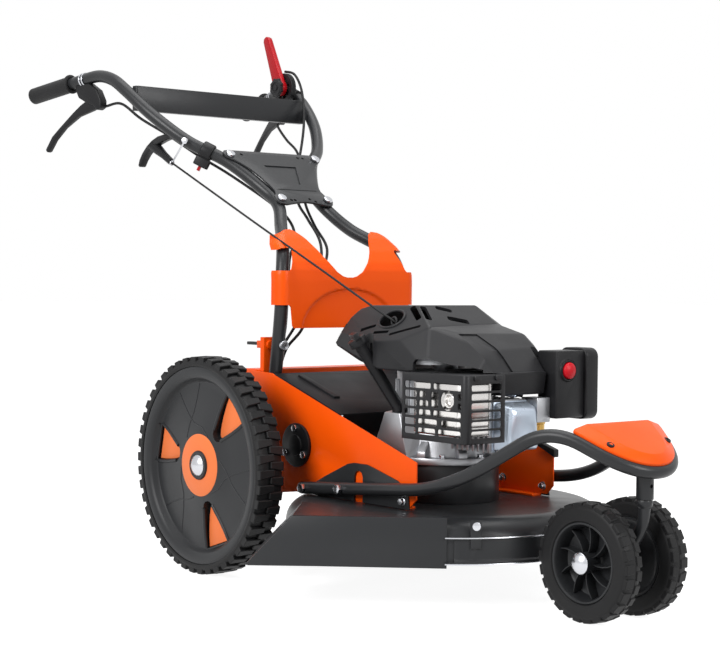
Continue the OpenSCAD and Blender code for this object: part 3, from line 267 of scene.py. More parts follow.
def drawn_from(node):
    """A copy of a CAD piece with its triangles merged back into plain faces."""
    ready(frame["nodes"][node])
    bpy.ops.object.duplicate()
    piece = bpy.context.object
    piece.parent = None
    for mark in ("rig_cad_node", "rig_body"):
        if mark in piece:
            del piece[mark]
    bpy.ops.mesh.customdata_custom_splitnormals_clear()
    worked(merged, (bpy.ops.mesh.dissolve_limited, {"angle_limit": math.radians(0.5)}))
    return piece


def eased(node, name, finish, edge=0.8, steps=2, sharp=35):
    """The CAD piece with its edges eased as a press, a mould or a file leaves them."""
    body = frame["nodes"][node]["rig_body"]
    return fitted(rounded_off(drawn_from(node), edge, steps, sharp), name, finish, node, body=body)


grey_paint = finish_of("dark_paint", "dark_grey_paint", (43, 44, 46), (35, 36, 38), 0.33, 0.05, 900, 0.10,
    shine=0.3)
eased("deck_shell", "deck_pan", grey_paint, 1.2)
eased("discharge_chute", "chute_hood", grey_paint, 0.8)
eased("deck_skirt", "skirt_band", grey_paint, 0.8)
eased("engine_stand", "stand_ring", grey_paint, 1.0)

# Chassis: two side plates, a crossmember and its posts, cut and folded from 3 mm steel and painted
# glossy orange. The black top cover is folded sheet, screwed to their upper edges.
orange_paint = finish_of("orange_paint", "orange_paint", (255, 92, 4), (248, 82, 2), 0.36, 0.04, 700, 0.06,
    coat=0.04, shine=0.18)
eased("side_plates", "chassis_side_plates", orange_paint, 0.7)
eased("rear_crossmember", "chassis_crossmember", orange_paint, 0.9)
black_plastic = finish_of("black_plastic", "black_moulding", (29, 29, 31), (22, 22, 24), 0.42, 0.06, 1600,
    0.12, shine=0.22)
cover_sheet = finish_of("black_plastic", "black_cover_sheet", (30, 30, 32), (23, 23, 25), 0.54, 0.05, 1300,
    0.10, shine=0.12)
eased("top_cover", "chassis_top_cover", cover_sheet, 1.0)

# Front frame: one length of 22 mm steel tube bent into a long loop, bolted through grey brackets, with
# a bridge and head tube welded under its nose.
eased("head_tube", "caster_head", grey_paint, 1.2)
outward = (bpy.ops.mesh.normals_make_consistent, {"inside": False})


def tube_along(points, radius, sides=20):
    """A round tube of that radius in mm along points in the scene's metres, with closed ends."""
    bpy.ops.object.select_all(action="DESELECT")
    line = bpy.data.curves.new("run", "CURVE")
    line.dimensions = "3D"
    spline = line.splines.new("POLY")
    spline.points.add(len(points) - 1)
    for knot, point in zip(spline.points, points):
        knot.co = (*point, 1)
    line.bevel_depth = radius / 1000
    line.bevel_resolution = (sides - 4) // 2
    line.use_fill_caps = True
    piece = bpy.data.objects.new("run", line)
    bpy.context.scene.collection.objects.link(piece)
    ready(piece)
    bpy.ops.object.convert(target="MESH")
    worked(outward)
    bpy.ops.object.shade_smooth_by_angle(angle=math.radians(40))
    return bpy.context.object


def swept(first, corner, last, steps):
    """Points of the round between two points whose straight runs meet at a corner."""
    return [first * (1 - k / steps) ** 2 + corner * 2 * (k / steps) * (1 - k / steps)
        + last * (k / steps) ** 2 for k in range(steps + 1)]


def bent(a, b, c, length, steps=12):
    """The round of a bend at b between two straight runs, starting some mm before the corner."""
    a, b, c = Vector(a), Vector(b), Vector(c)
    return swept(b + length * (a - b).normalized(), b, b + length * (c - b).normalized(), steps)


def mirrored(run):
    """The same run of points on the left of the machine."""
    return [Vector((p.x, -p.y, p.z)) for p in run]


rail_end, low_bend, peak = (155, -180.3, 166), (535, -180.3, 199), (711, -117, 313)
shoulder, nose_tip = (833, -56, 246), (833, 0, 246)
nose_run = swept(bent(peak, shoulder, nose_tip, 76)[0], Vector(shoulder), Vector(nose_tip), 16)
one_side = [Vector(rail_end)] + bent(rail_end, low_bend, peak, 90) + bent(low_bend, peak, shoulder,
    58) + nose_run
loop_run = one_side + mirrored(reversed(one_side[:-1]))
fitted(tube_along([at(*p) for p in loop_run], 11, 24), "front_frame_loop", grey_paint, "front_frame")

# Nose cover: orange sheet pressed with a raised middle and a sloping border, its edge turned down over the
# loop's nose and held by two dark screws.
slope_along, slope_up = Vector((122, 0, -67)).normalized(), Vector((67, 0, 122)).normalized()


def on_slope(u, v, h):
    """A point over the nose, by mm along its slope, across it and square to it."""
    return Vector((peak[0], v, peak[2])) + u * slope_along + h * slope_up


def flat_blank(outline, low, high):
    """A blank cut along an outline of (x, y) pairs in mm, standing from one height to another."""
    bpy.ops.object.select_all(action="DESELECT")
    bpy.ops.mesh.primitive_circle_add(vertices=len(outline), radius=0.1, fill_type="NGON")
    piece = bpy.context.object
    for corner, (x, y) in zip(piece.data.vertices, outline):
        corner.co = (x / 1000, y / 1000, low / 1000)
    lift_up = {"TRANSFORM_OT_translate": {"value": (0, 0, (high - low) / 1000)}}
    worked((bpy.ops.mesh.extrude_region_move, lift_up), outward)
    return piece


def stood(piece, place, along_x, along_y):
    """Stands a blank up: its origin goes to a place of the machine, its x and y along two directions."""
    x, y = Vector(along_x).normalized(), Vector(along_y).normalized()
    piece.data.transform(Matrix.Translation(at(*place)) @ Matrix((x, y, x.cross(y))).transposed().to_4x4())
    piece.data.update()
    return piece


def stepped_top(piece, *steps):
    """Insets a blank's top face again and again, by pairs of mm in and mm up."""
    ready(piece)
    bpy.context.tool_settings.mesh_select_mode = (False, False, True)
    bpy.ops.object.mode_set(mode="EDIT")
    bpy.ops.mesh.select_all(action="DESELECT")
    bpy.ops.object.mode_set(mode="OBJECT")
    max(piece.data.polygons, key=lambda face: face.center.z).select = True
    bpy.ops.object.mode_set(mode="EDIT")
    for inward, rise in steps:
        bpy.ops.mesh.inset(thickness=inward / 1000, depth=rise / 1000)
    bpy.ops.object.mode_set(mode="OBJECT")
    bpy.context.tool_settings.mesh_select_mode = (True, False, False)
    return piece


def joined(*pieces):
    """Several shapes as one piece."""
    ready(pieces[0])
    for piece in pieces[1:]:
        piece.select_set(True)
    bpy.ops.object.join()
    return bpy.context.object


def hull_of(points):
    """The tight skin round some points of the machine, in mm."""
    bpy.ops.object.select_all(action="DESELECT")
    bpy.ops.mesh.primitive_circle_add(vertices=len(points), radius=0.1)
    piece = bpy.context.object
    for corner, point in zip(piece.data.vertices, points):
        corner.co = at(*point)
    worked((bpy.ops.mesh.convex_hull, {}), (bpy.ops.mesh.dissolve_limited, {"angle_limit": math.radians(1)}),
           outward)
    return piece


def ring(radius, count, tall=1.0):
    """Points round a circle, or an oval that is less tall, in mm."""
    spins = [2 * math.pi * k / count for k in range(count)]
    return [(radius * math.cos(a), radius * tall * math.sin(a)) for a in spins]


nose_half = [Vector((737, -97, 0)), Vector((740, -101, 0))] + [p for p in one_side if p.x > 745 and p.z < 300]
nose_edge = [((p.x - peak[0]) / slope_along.x, p.y) for p in nose_half + mirrored(reversed(nose_half[:-1]))]
rear_edge = 29
border = [on_slope(u, v, h) for u, v in nose_edge for h in (9.6, 15.0)]
raised = [on_slope(rear_edge + (u - rear_edge) * 0.86, v * 0.72, 23.5) for u, v in nose_edge]
nose_cover = rounded_off(hull_of(border + raised), 1.6, 3, 16)
fitted(nose_cover, "nose_cover", orange_paint, "nose_plate")
screws = []
for v in (-67, 67):
    screw = stepped_top(flat_blank(ring(6.5, 24), 0, 3.4), (1.2, 0.6), (1.4, 0), (0.3, -1.6))
    screws.append(stood(rounded_off(screw, 0.3), on_slope(84, v, 17.0), slope_along, (0, 1, 0)))
fitted(joined(*screws), "nose_screws", black_plastic)

# Caster: a bent steel leg on a swivel stem, painted grey, with a plain bright axle.
# The leg is one bent bar, welded into a collar above and a boss round the axle below.
leg_bends = [(807, 0, 262), (807, 0, 205), (806.5, 0, 182), (802, 0, 158), (788, 0, 133), (766, 0, 112),
    (741, 0, 97)]
caster_hub = (741, 52, 97)


def smooth_run(points, steps):
    """A smooth curve through points, as a tube bender would follow them."""
    run = []
    for i in range(len(points) - 1):
        a, b, c, d = (Vector(points[min(max(k, 0), len(points) - 1)]) for k in (i - 1, i, i + 1, i + 2))
        for k in range(steps):
            t = k / steps
            run.append(0.5 * (2 * b + (c - a) * t + (2 * a - 5 * b + 4 * c - d) * t * t
                              + (3 * b - a - 3 * c + d) * t ** 3))
    return run + [Vector(points[-1])]


def smooth_tube(points, radius, sides):
    """A round bar, cable or rope led smoothly through points of the machine."""
    return tube_along([at(*p) for p in smooth_run(points, 8)], radius, sides)


def turned(outline, steps=96, closed=False):
    """A solid turned about the Z axis from an outline of (radius, height) pairs in mm."""
    bpy.ops.object.select_all(action="DESELECT")
    bpy.ops.mesh.primitive_circle_add(vertices=3, radius=0.001)
    piece = bpy.context.object
    bpy.ops.object.mode_set(mode="EDIT")
    bpy.ops.mesh.select_mode(type="VERT")
    bpy.ops.mesh.select_all(action="SELECT")
    bpy.ops.mesh.merge(type="CENTER")
    bpy.ops.mesh.select_all(action="SELECT")
    last = (0, 0)
    for k, knot in enumerate(outline + outline[:1] if closed else outline):
        step = ((knot[0] - last[0]) / 1000, 0, (knot[1] - last[1]) / 1000)
        if k == 0:
            bpy.ops.transform.translate(value=step)
        else:
            bpy.ops.mesh.extrude_region_move(TRANSFORM_OT_translate={"value": step})
        last = knot
    whole_turn = {"steps": steps, "angle": 2 * math.pi, "center": (0, 0, 0), "axis": (0, 0, 1)}
    worked((bpy.ops.mesh.spin, whole_turn), merged, outward)
    return piece


def level_at(piece, place=(0, 0, 0)):
    """Sets down a blank drawn in x and y, its height running up."""
    return stood(piece, place, (1, 0, 0), (0, 1, 0))


def upright(piece, place=(0, 0, 0)):
    """Stands up a blank drawn in x and z, its height running to the machine's right."""
    return stood(piece, place, (1, 0, 0), (0, 0, 1))


leg = smooth_tube(leg_bends, 9.6, 24)
collar = turned([(0, 186), (9.5, 186), (12.6, 190), (13, 197), (12, 199.6), (0, 199.6)], 40)
boss = turned([(0, -26), (12, -26), (13, -25), (13, 25), (12, 26), (0, 26)], 40)
collar, boss = level_at(rounded_off(collar, 0), (807, 0, 0)), upright(rounded_off(boss, 0), (741, 0, 97))
fitted(joined(leg, collar, boss), "caster_leg", grey_paint, "caster_fork", body="caster")
bright_zinc = finish_of("bright_steel", "bright_zinc", (206, 207, 210), (188, 190, 196), 0.24, 0.06, 500,
    0.03, metal=1.0)
eased("caster_axle", "caster_spindle", bright_zinc, 0.5)

# Rear tyres: black rubber with two staggered rows of lugs. Each wheel's piece is turned about its own axis
# with the outer face up, then laid over to its side of the machine.
tyre_rubber = finish_of("tyre_rubber", "tyre_rubber", (26, 26, 27), (18, 18, 19), 0.50, 0.08, 1200, 0.20,
    shine=0.22)
rear_hub = (0, 279, 200)


def lug_row(piece, count, start, low, high, radius, length, depth, taper, slant):
    """A ring of tread lugs on a tyre: one block, drawn in and eased, then copied round the axis."""
    ready(piece)
    bpy.ops.object.mode_set(mode="EDIT")
    bpy.ops.mesh.select_all(action="DESELECT")
    bpy.ops.mesh.primitive_cube_add(size=1, location=(0, 0, 0))
    bpy.ops.transform.resize(value=(depth / 1000, length / 1000, (high - low) / 1000))
    bpy.ops.transform.translate(value=((radius - depth / 2) / 1000, 0, (low + high) / 2000))
    bpy.ops.object.mode_set(mode="OBJECT")
    for corner in [v for v in piece.data.vertices if v.select]:
        inward = abs(corner.co.z) < (abs(low) + abs(high)) / 2000
        if inward:
            corner.co.y = corner.co.y * taper + slant / 1000
        if corner.co.x > (radius - depth / 2) / 1000:
            corner.co.y *= 0.88
            if not inward:
                corner.co.x -= 0.0012
    bpy.ops.object.mode_set(mode="EDIT")
    bpy.ops.mesh.bevel(offset=0.0011, segments=1, affect="EDGES")
    bpy.ops.mesh.select_linked()
    bpy.ops.transform.rotate(value=-start, orient_axis="Z", center_override=(0, 0, 0))
    bpy.ops.mesh.spin(steps=count - 1, angle=2 * math.pi * (count - 1) / count, dupli=True,
                      center=(0, 0, 0), axis=(0, 0, 1))
    worked(outward)


def copy_of(piece):
    """A second piece of the same shape with its own mesh."""
    ready(piece)
    bpy.ops.object.duplicate()
    return bpy.context.object


def fitted_pair(piece, hub, name, wheel, finish, node):
    """Lays a wheel's piece over on the right of the machine, outer face out, and a copy on the left."""
    twin = copy_of(piece)
    for part, side, hand in ((piece, -1, "_right"), (twin, 1, "_left")):
        turn = Matrix.Rotation(math.radians(-90 * side), 4, "X")
        part.data.transform(Matrix.Translation(at(hub[0], side * hub[1], hub[2])) @ turn)
        part.data.update()
        fitted(part, name + hand, finish, node + hand, body=wheel + hand)


rear_tyre = turned([(181.4, -26), (181.4, 26.4), (184, 27.6), (188, 27.4), (191.5, 25.5), (193.2, 22),
    (193.8, 14), (193.8, -14), (193.2, -22), (191.5, -25.5), (188, -27.4), (184, -27.6)], 92, closed=True)
for start, low, high in ((0.0, -4, 27), (math.pi / 46, -25, 4)):
    lug_row(rear_tyre, 46, start, low, high, radius=200, length=18.5, depth=15, taper=0.72, slant=3)
rounded_off(rear_tyre, 0, sharp=30)
fitted_pair(rear_tyre, rear_hub, "rear_tyre", "wheel", tyre_rubber, "tyre")

# Rear rims: deep dished mouldings in dark grey, with three pockets that hold paler orange inserts and
# an orange disc pressed on round the hub.
rim_plastic = finish_of("rim_plastic", "rim_moulding", (43, 44, 46), (35, 36, 38), 0.40, 0.05, 1500, 0.10,
    shine=0.28)
hub_orange = finish_of("orange_paint", "hub_orange", (255, 136, 78), (248, 128, 70), 0.42, 0.04, 1200, 0.05,
    shine=0.25)


def mix(a, b, t):
    """A value part of the way from one to another."""
    return a + (b - a) * t


def on_dish(reach, degrees, sunk):
    """A point on the dish's face, by its distance and angle from the hub, sunk by some mm."""
    face = mix(18.8, 10.0, max(0, (reach - 60) / 92)) if reach < 152 else 10.0
    spin = math.radians(degrees)
    return reach * math.cos(spin) / 1000, reach * math.sin(spin) / 1000, (face - sunk) / 1000


def pocket_outline(inset):
    """The teardrop pocket in the dish, pulled in by some mm, about its own middle line."""
    knots = []
    for r, half in ((68, 4), (71, 10), (78, 15), (92, 20), (110, 27), (130, 33), (146, 36.5), (152, 36)):
        knots.append((r + (inset if r < 80 else 0), max(half - inset, 1.0)))
    knots[-1] = (152 - inset, 36 - inset)
    return [(r, -w) for r, w in knots] + [(r, w) for r, w in reversed(knots)]


def cut_away(piece, tool, operation="DIFFERENCE"):
    """Cuts one shape out of another, or welds it on, and throws the tool away."""
    ready(piece)
    bpy.ops.object.modifier_add(type="BOOLEAN")
    cut = piece.modifiers[-1]
    cut.operation = operation
    cut.solver = "EXACT"
    cut.object = tool
    bpy.ops.object.modifier_apply(modifier=cut.name)
    ready(tool)
    bpy.ops.object.delete()
    return piece


def turned_about_z(piece, degrees):
    """Turns a shape about its own upright axis."""
    piece.data.transform(Matrix.Rotation(math.radians(degrees), 4, "Z"))
    return piece


pocket_turns = (48, 168, 288)
rear_rim = turned([(10.2, -33), (10.2, 23.8), (20.5, 23.8), (22.5, 24.6), (25, 24.6), (26.5, 22.5),
    (27, 19.8), (58.5, 19.4), (60, 18.8), (100, 15), (140, 11.1), (150, 10), (153, 10.4), (156, 13.6),
    (158.5, 19.5), (162, 23.6), (167, 25.4), (174, 26.4), (179, 26.2), (181, 25), (181, -25.5), (172, -25.5),
    (171, -2), (60, -2), (29, -4), (28, -33)], 120, closed=True)
for turn in pocket_turns:
    cut_away(rear_rim, turned_about_z(flat_blank(pocket_outline(0), 2.5, 40), turn))
rounded_off(rear_rim, 0, sharp=30)
ridges = (((60, -102), (70, -82), (79, -62), (100, -53), (125, -48.5), (150, -46)),
          ((64, 84), (80, 70), (99, 57), (122, 51), (150, 47.5)))
lips, inserts = [], []
for turn in pocket_turns:
    lips.append(tube_along([on_dish(math.hypot(r, w), turn + math.degrees(math.atan2(w, r)), 1.2)
                            for r, w in pocket_outline(0.4)[2:-2]], 3.6, 12))
    for ridge in ridges:
        lips.append(tube_along([on_dish(r, spin + turn, 0.6) for r, spin in ridge], 1.5, 8))
rear_rim = joined(rear_rim, *lips)
for turn in pocket_turns:
    inserts.append(turned_about_z(rounded_off(flat_blank(pocket_outline(5), 1.5, 5.5), 0.8), turn))
hub_disc = turned([(25.6, 17), (25.6, 20.6), (56, 20.2), (57.2, 19.6), (57.6, 18.6), (57.6, 17)], 96,
    closed=True)
rim_orange = joined(rounded_off(hub_disc, 0), *inserts)
fitted_pair(rear_rim, rear_hub, "rear_rim", "wheel", rim_plastic, "rim")
fitted_pair(rim_orange, rear_hub, "rim_inserts", "wheel", hub_orange, "rim")

# Caster wheels: small dished mouldings with nine thin curved ribs, in cleated rubber tyres that are
# narrower on their inner side.
caster_tyre = turned([(65.4, -19), (65.4, 19), (67, 21.4), (69, 22), (72, 21.3), (84, 21.3), (88.5, 20.4),
                      (92.4, 17.6), (94.4, 13), (95.2, 6), (95.4, 1.0), (94.6, 0), (95.4, -1.0), (95.2, -6),
                      (94.4, -13), (92.4, -17.6), (88.5, -20.4), (84, -21.3), (72, -21.3), (69, -22),
                      (67, -21.4)], 96, closed=True)
for start, low, high in ((0.0, 2.5, 20.0), (math.pi / 26, -20.0, -2.5)):
    lug_row(caster_tyre, 26, start, low, high, radius=96.8, length=18.6, depth=9.0, taper=0.90, slant=2)
for corner in caster_tyre.data.vertices:
    corner.co.z *= 0.74 if corner.co.z < 0 else 1
rounded_off(caster_tyre, 0, sharp=30)
caster_rim = turned([(8.2, -19.6), (8.2, 25.3), (15.5, 25.3), (16.6, 24.4), (17.4, -5), (20, -8.2),
    (50, -8.6), (55, -6), (58, 4), (60, 17.8), (61.6, 20), (64, 20.4), (65, 19.6), (65, -14.6), (61, -15),
    (58.4, -13), (54, -12.2), (22, -12.4), (18.8, -13), (18.5, -18.6), (17.5, -19.6)], 96, closed=True)
rib_path = [(17, -2.0), (26, -3.4), (36, -3.2), (47, -1.0), (58, 3.6)]
rib_outline = [(x, y - 0.9) for x, y in rib_path] + [(x, y + 0.9) for x, y in reversed(rib_path)]
rib = rounded_off(flat_blank(rib_outline, -10, 11), 0.4)
ribs = [rib] + [turned_about_z(copy_of(rib), 40 * k) for k in range(1, 9)]
caster_rim = joined(rounded_off(caster_rim, 0), *ribs)
fitted_pair(caster_tyre, caster_hub, "caster_tyre_rubber", "caster_wheel", tyre_rubber, "caster_tyre")
fitted_pair(caster_rim, caster_hub, "caster_hub", "caster_wheel", rim_plastic, "caster_rim")

# Drive: a plated axle with domed caps, a layshaft in black flanged bearings, a cast gearbox, a roller
# chain and a rubber belt, all between the side plates.
eased("rear_axle", "axle_and_caps", bright_zinc, 0.6)
eased("layshaft", "layshaft_bar", bright_zinc, 0.6)
eased("bearing_flanges", "bearing_housings", black_plastic, 1.2)
dark_casting = finish_of("cast_alloy", "dark_casting", (40, 41, 43), (32, 33, 35), 0.42, 0.06, 700, 0.20,
    metal=0.2, shine=0.3)
eased("gearbox", "gearbox_casting", dark_casting, 2.0)
dull_steel = finish_of("bright_steel", "dull_steel", (150, 150, 152), (124, 124, 126), 0.36, 0.08, 600, 0.08,
    metal=1.0)
eased("box_pulley", "gearbox_pulley", dull_steel, 0.6)
eased("drive_chain", "roller_chain", dull_steel, 0.6)
black_rubber = finish_of("grip_rubber", "black_rubber", (30, 30, 31), (22, 22, 23), 0.6, 0.06, 1400, 0.15,
    shine=0.25)
eased("drive_belt", "drive_vee_belt", black_rubber, 0.6)
eased("clutch_arm", "clutch_lever", dull_steel, 0.6)

# Engine block: a die-cast crankcase with its finned cylinder lying forward, cast lugs and ribs round its
# foot, and bright bolts that hold it down to the stand. The oil filler's boss narrows outward.
cast_alloy = finish_of("cast_alloy", "cast_alloy", (186, 187, 190), (158, 160, 164), 0.40, 0.08, 420, 0.35,
    metal=0.9)
casting = drawn_from("crankcase")
boss_x, case_side, case_foot = at(328, 0, 0).x, at(0, -87, 0).y, 0.236
for corner in casting.data.vertices:
    if corner.co.y < case_side and corner.co.z > case_foot:
        corner.co.x = boss_x + (corner.co.x - boss_x) * 0.42
fitted(rounded_off(casting, 1.6), "crankcase_casting", cast_alloy, "crankcase")


def hex_bolt(across_flats, head, flange):
    """A flanged hexagon head standing on z = 0, sizes in mm."""
    disc = turned([(0, 0), (flange / 2, 0), (flange / 2, 1.0), (across_flats / 2, 2.2), (0, 2.2)], 28)
    return joined(rounded_off(disc, 0), rounded_off(flat_blank(ring(across_flats / 1.73, 6), 1.6, head), 0.7))


def out_from_crank(degrees, out, aside, z):
    """A point of the machine at an angle round the crankshaft, some mm out, aside and up."""
    spin = math.radians(degrees)
    return Vector((crank_from_axle + out * math.cos(spin) - aside * math.sin(spin),
                   out * math.sin(spin) + aside * math.cos(spin), z))


def cast_block(degrees, corners):
    """A block on the crankcase at an angle, from corners given by mm out, half width and height."""
    return hull_of([out_from_crank(degrees, r, side * w, z) for r, w, z in corners for side in (-1, 1)])


case_lugs, case_bolts = [], []
for turn in range(-150, 61, 42):
    lug = cast_block(turn, ((80, 9, 233.5), (103, 8, 233.5), (102, 8, 244), (80, 8, 268)))
    case_lugs.append(rounded_off(lug, 1.8, 2))
    case_bolts.append(level_at(hex_bolt(10, 6.5, 14), out_from_crank(turn + 21, 98, 0, 234)))
for turn in range(-128, -75, 13):
    web = cast_block(turn, ((82, 1.6, 250), (90, 1.2, 254), (89, 1.2, 366), (82, 1.6, 370)))
    case_lugs.append(rounded_off(web, 0.6))
fitted(joined(*case_lugs), "crankcase_lugs", cast_alloy)
fitted(joined(*case_bolts), "crankcase_bolts", bright_zinc)

# Rocker cover: a deep pressing of bright painted steel, wider at its foot, with softly crowned faces. The
# plug's metal sleeve lies above it, with a black rubber end.
cover_silver = finish_of("cover_silver", "cover_silver", (196, 208, 222), (182, 194, 208), 0.30, 0.05, 800,
    0.04, metal=0.55)


def stacked(*frames):
    """Corner points from frames across the machine: x, then the right, left and height of two edges."""
    return [(x, y, z) for x, *edges in frames for right, left, z in edges for y in (right, left)]


pressing = hull_of(stacked((525, (-65, 17, 255), (-62, 14, 338)), (533, (-65, 17, 255), (-62, 14, 338)),
                           (561, (-61, 13, 259), (-54, 6, 330)), (564, (-48, 0, 268), (-44, -4, 322))))
lip = hull_of(stacked((524.6, (-66, 18, 254), (-63, 15, 340)), (528, (-66, 18, 254), (-63, 15, 340))))
fitted(joined(rounded_off(pressing, 6, 4, 20), rounded_off(lip, 1)), "rocker_cover_pressing", cover_silver,
    "rocker_cover")
sleeve = [(0, 0), (7.4, 0)]
for k in range(9):
    sleeve += [(7.8, 1.5 + 5 * k), (7.8, 4.2 + 5 * k), (7.2, 4.8 + 5 * k), (7.2, 5.8 + 5 * k)]
sleeve += [(7.8, 47.5), (7.2, 48), (0, 48)]
plug_line = ((520, -56, 361), (1, 0, 0), (0, -0.2, -0.96))
plug_sleeve = stood(rounded_off(turned(sleeve, 32), 0, sharp=40), *plug_line)
fitted(plug_sleeve, "plug_sleeve", bright_zinc, "spark_plug")
plug_end = turned([(0, 46), (6.4, 46), (6.4, 52), (5, 56), (3.4, 58), (3.4, 68), (0, 68)], 28)
fitted(stood(rounded_off(plug_end, 0), *plug_line), "plug_end", black_plastic, "spark_plug")

# Muffler: a bright pressed can with a rolled outlet, behind a guard of black sheet that is folded round it
# and punched with rows of rounded slots.
muffler_steel = finish_of("bright_steel", "muffler_steel", (228, 227, 226), (206, 202, 198), 0.24, 0.08, 300,
    0.05, metal=1.0)
eased("muffler", "muffler_can", muffler_steel, 3.0, 3)
cowl_plastic = finish_of("black_plastic", "cowl_moulding", (37, 37, 39), (29, 29, 31), 0.42, 0.05, 1800, 0.10,
    shine=0.26)


def round_corners(x0, x1, y0, y1, r, steps=4):
    """The outline of a slot or plate with round corners."""
    outline = []
    for cx, cy, start in ((x1 - r, y1 - r, 0), (x0 + r, y1 - r, 90), (x0 + r, y0 + r, 180),
            (x1 - r, y0 + r, 270)):
        for k in range(steps + 1):
            a = math.radians(start + 90 * k / steps)
            outline.append((cx + r * math.cos(a), cy + r * math.sin(a)))
    return outline


def crosswise(piece):
    """Stands up a blank drawn in y and z, its height running forward."""
    return stood(piece, (0, 0, 0), (0, 1, 0), (0, 0, 1))


def folded(radius):
    """The quarter turn of the guard's fold, at its outer or inner face."""
    spins = [math.radians(15 * k) for k in range(7)]
    return [(551 + radius * math.sin(a), -149 - radius * math.cos(a)) for a in spins]


guard = level_at(flat_blank([(402, -158)] + folded(9) + [(560, -68), (557.5, -68)] + folded(6.5)[::-1]
                            + [(402, -155.5)], 274, 387))
slot_rows = [289.5 + 15.5 * k for k in range(6)]
side_spans = (((408, 437), (442, 486), (492, 548)), ((408, 437), (442, 490), (500, 548)),
              ((408, 439), (444, 474), (480, 548)), ((408, 439), (445, 468), (541, 549)),
              ((408, 439), (445, 462), (541, 549)), ((408, 474), (480, 548)))
side_slots = [round_corners(x0, x1, row - 5.6, row + 5.6, 3.4)
              for row, spans in zip(slot_rows, side_spans) for x0, x1 in spans]
side_slots.append(round_corners(475, 493, slot_rows[3] - 5.6, slot_rows[4] + 5.6, 4))
punches = [upright(flat_blank(outline, 150, 166)) for outline in side_slots]
punches.append(upright(turned([(0, 150), (16.5, 150), (16.5, 166), (0, 166)], 40), (515, 0, 344)))
for row in slot_rows:
    punches.append(crosswise(flat_blank(round_corners(-144, -76, row - 5.8, row + 5.8, 3.6), 552, 566)))
guard = rounded_off(cut_away(guard, joined(*punches)), 0.5, 2, 40)
roof = level_at(rounded_off(flat_blank(round_corners(403, 558, -156, -70, 6), 383.6, 386.6), 0.8))
tabs = [crosswise(rounded_off(flat_blank(round_corners(y, y + 15, 378, 387, 3), 560.2, 562.6), 0.6))
        for y in (-140, -92)]
fitted(joined(guard, roof, *tabs), "muffler_guard_cage", cowl_plastic, "muffler_guard", slot="dark_paint")

# Cowl: one deep moulding in black plastic. Its rear half rises to a flat crown, and a lower hood curves
# down over the front; the rope's mouth, vents and slots are moulded through it. A shroud closes the
# cylinder's top.
base = 387.3
rear_half = [(-10, -150, base), (112, -146, base), (156, 108, base), (-30, 138, base), (-140, 112, base),
             (-140, -60, base), (-100, -118, 398), (-152, -134, 427), (-138, -128, 449), (-128, -116, 474),
             (-122, -98, 490), (-20, -147, 436), (40, -144, 440), (88, -118, 463), (76, 54, 467),
             (60, 100, 452),
             (-30, 130, 450), (-142, 106, 440), (-96, -92, 497), (24, -86, 499), (34, 40, 499), (0, 72, 498),
             (-38, 98, 496), (-108, 70, 494)]
front_hood = [(60, -148, base), (112, -146, base), (186, -98, base), (200, -50, base), (202, 34, base),
              (195, 74, base), (156, 108, base), (0, 120, base), (40, -144, 440), (88, -118, 463),
              (124, -76, 453), (176, -58, 425), (134, 62, 451), (162, 62, 428), (76, 54, 467),
              (40, -100, 463),
              (30, 54, 467), (40, 95, 450), (128, 92, 432)]
rear_half, front_hood = ([(crank_from_axle + x, y, z) for x, y, z in half]
    for half in (rear_half, front_hood))


def drawn_in(points, share, middle):
    """The same points pulled towards a middle, for the inside of a moulding."""
    middle = Vector(middle)
    return [middle + (Vector(p) - middle) * share for p in points]


cowl = cut_away(rounded_off(hull_of(rear_half), 3, 3, 8), rounded_off(hull_of(front_hood), 3.5, 3, 8),
    "UNION")
cut_away(cowl, hull_of(drawn_in(rear_half, 0.95, (338, 0, 380))))
cut_away(cowl, hull_of(drawn_in(front_hood, 0.95, (408, -10, 380))))


def slot_tool(first, last, width, out, depth=16):
    """A cutter for a slot between two points of a face, standing along the face's outward direction."""
    first, last, out = Vector(first), Vector(last), Vector(out).normalized()
    length = (last - first).length
    along = (last - first).normalized()
    aside = out.cross(along).normalized()
    outline = round_corners(-width / 2, length + width / 2, -width / 2, width / 2, width * 0.3, 3)
    return stood(flat_blank(outline, -depth, 10), first, along, aside)


mouth, mouth_place = ring(30, 40, 0.7), (320, -112, 474)
window = [(416, 380), (416, 402), (421, 408.5), (444, 409.5), (480, 401), (508, 398), (524, 394), (530, 380)]
for tool in (slot_tool((262, -132, 453.6), (289, -126, 461.5), 7, (-0.05, -0.8, 0.58)),
             slot_tool((301, -135.4, 450.3), (332, -133, 452.6), 6, (0, -0.75, 0.66)),
             slot_tool((345, -136.5, 449), (400, -119, 463.4), 6, (0.03, -0.71, 0.7)),
             slot_tool((352, -91, 494), (383, -106, 477.5), 11, (0.03, -0.71, 0.7)),
             slot_tool((371, -83.5, 494), (401, -98, 477.5), 12, (0.476, -0.04, 0.879)),
             slot_tool((374, -50, 494), (382, -35, 490.4), 13, (0.476, -0.04, 0.879)),
             slot_tool((405, -50, 476.7), (411, -20, 471), 13, (0.55, 0, 0.83)),
             stood(flat_blank(mouth, -30, 10), mouth_place, (1, 0, 0.02), (0.02, 0.704, 0.71)),
             upright(flat_blank(window, 60, 200)),
             level_at(flat_blank(round_corners(499, 619, 49, 169, 4), 380, 433)),
             level_at(turned([(0, 400), (22, 400), (22, 520), (0, 520)], 40), (272, 80, 0)),
             level_at(turned([(0, 380), (22, 380), (24, 470), (0, 470)], 40), (292, -160, 0))):
    cut_away(cowl, tool)
band = crosswise(flat_blank([(-83.4, 451.8), (-46, 451), (-26, 384), (-68, 384)], 440, 600))
cut_away(band, hull_of(drawn_in(front_hood, 0.972, (408, -10, 400))))
cut_away(cowl, band)
cowl = rounded_off(cowl, 0, sharp=24)
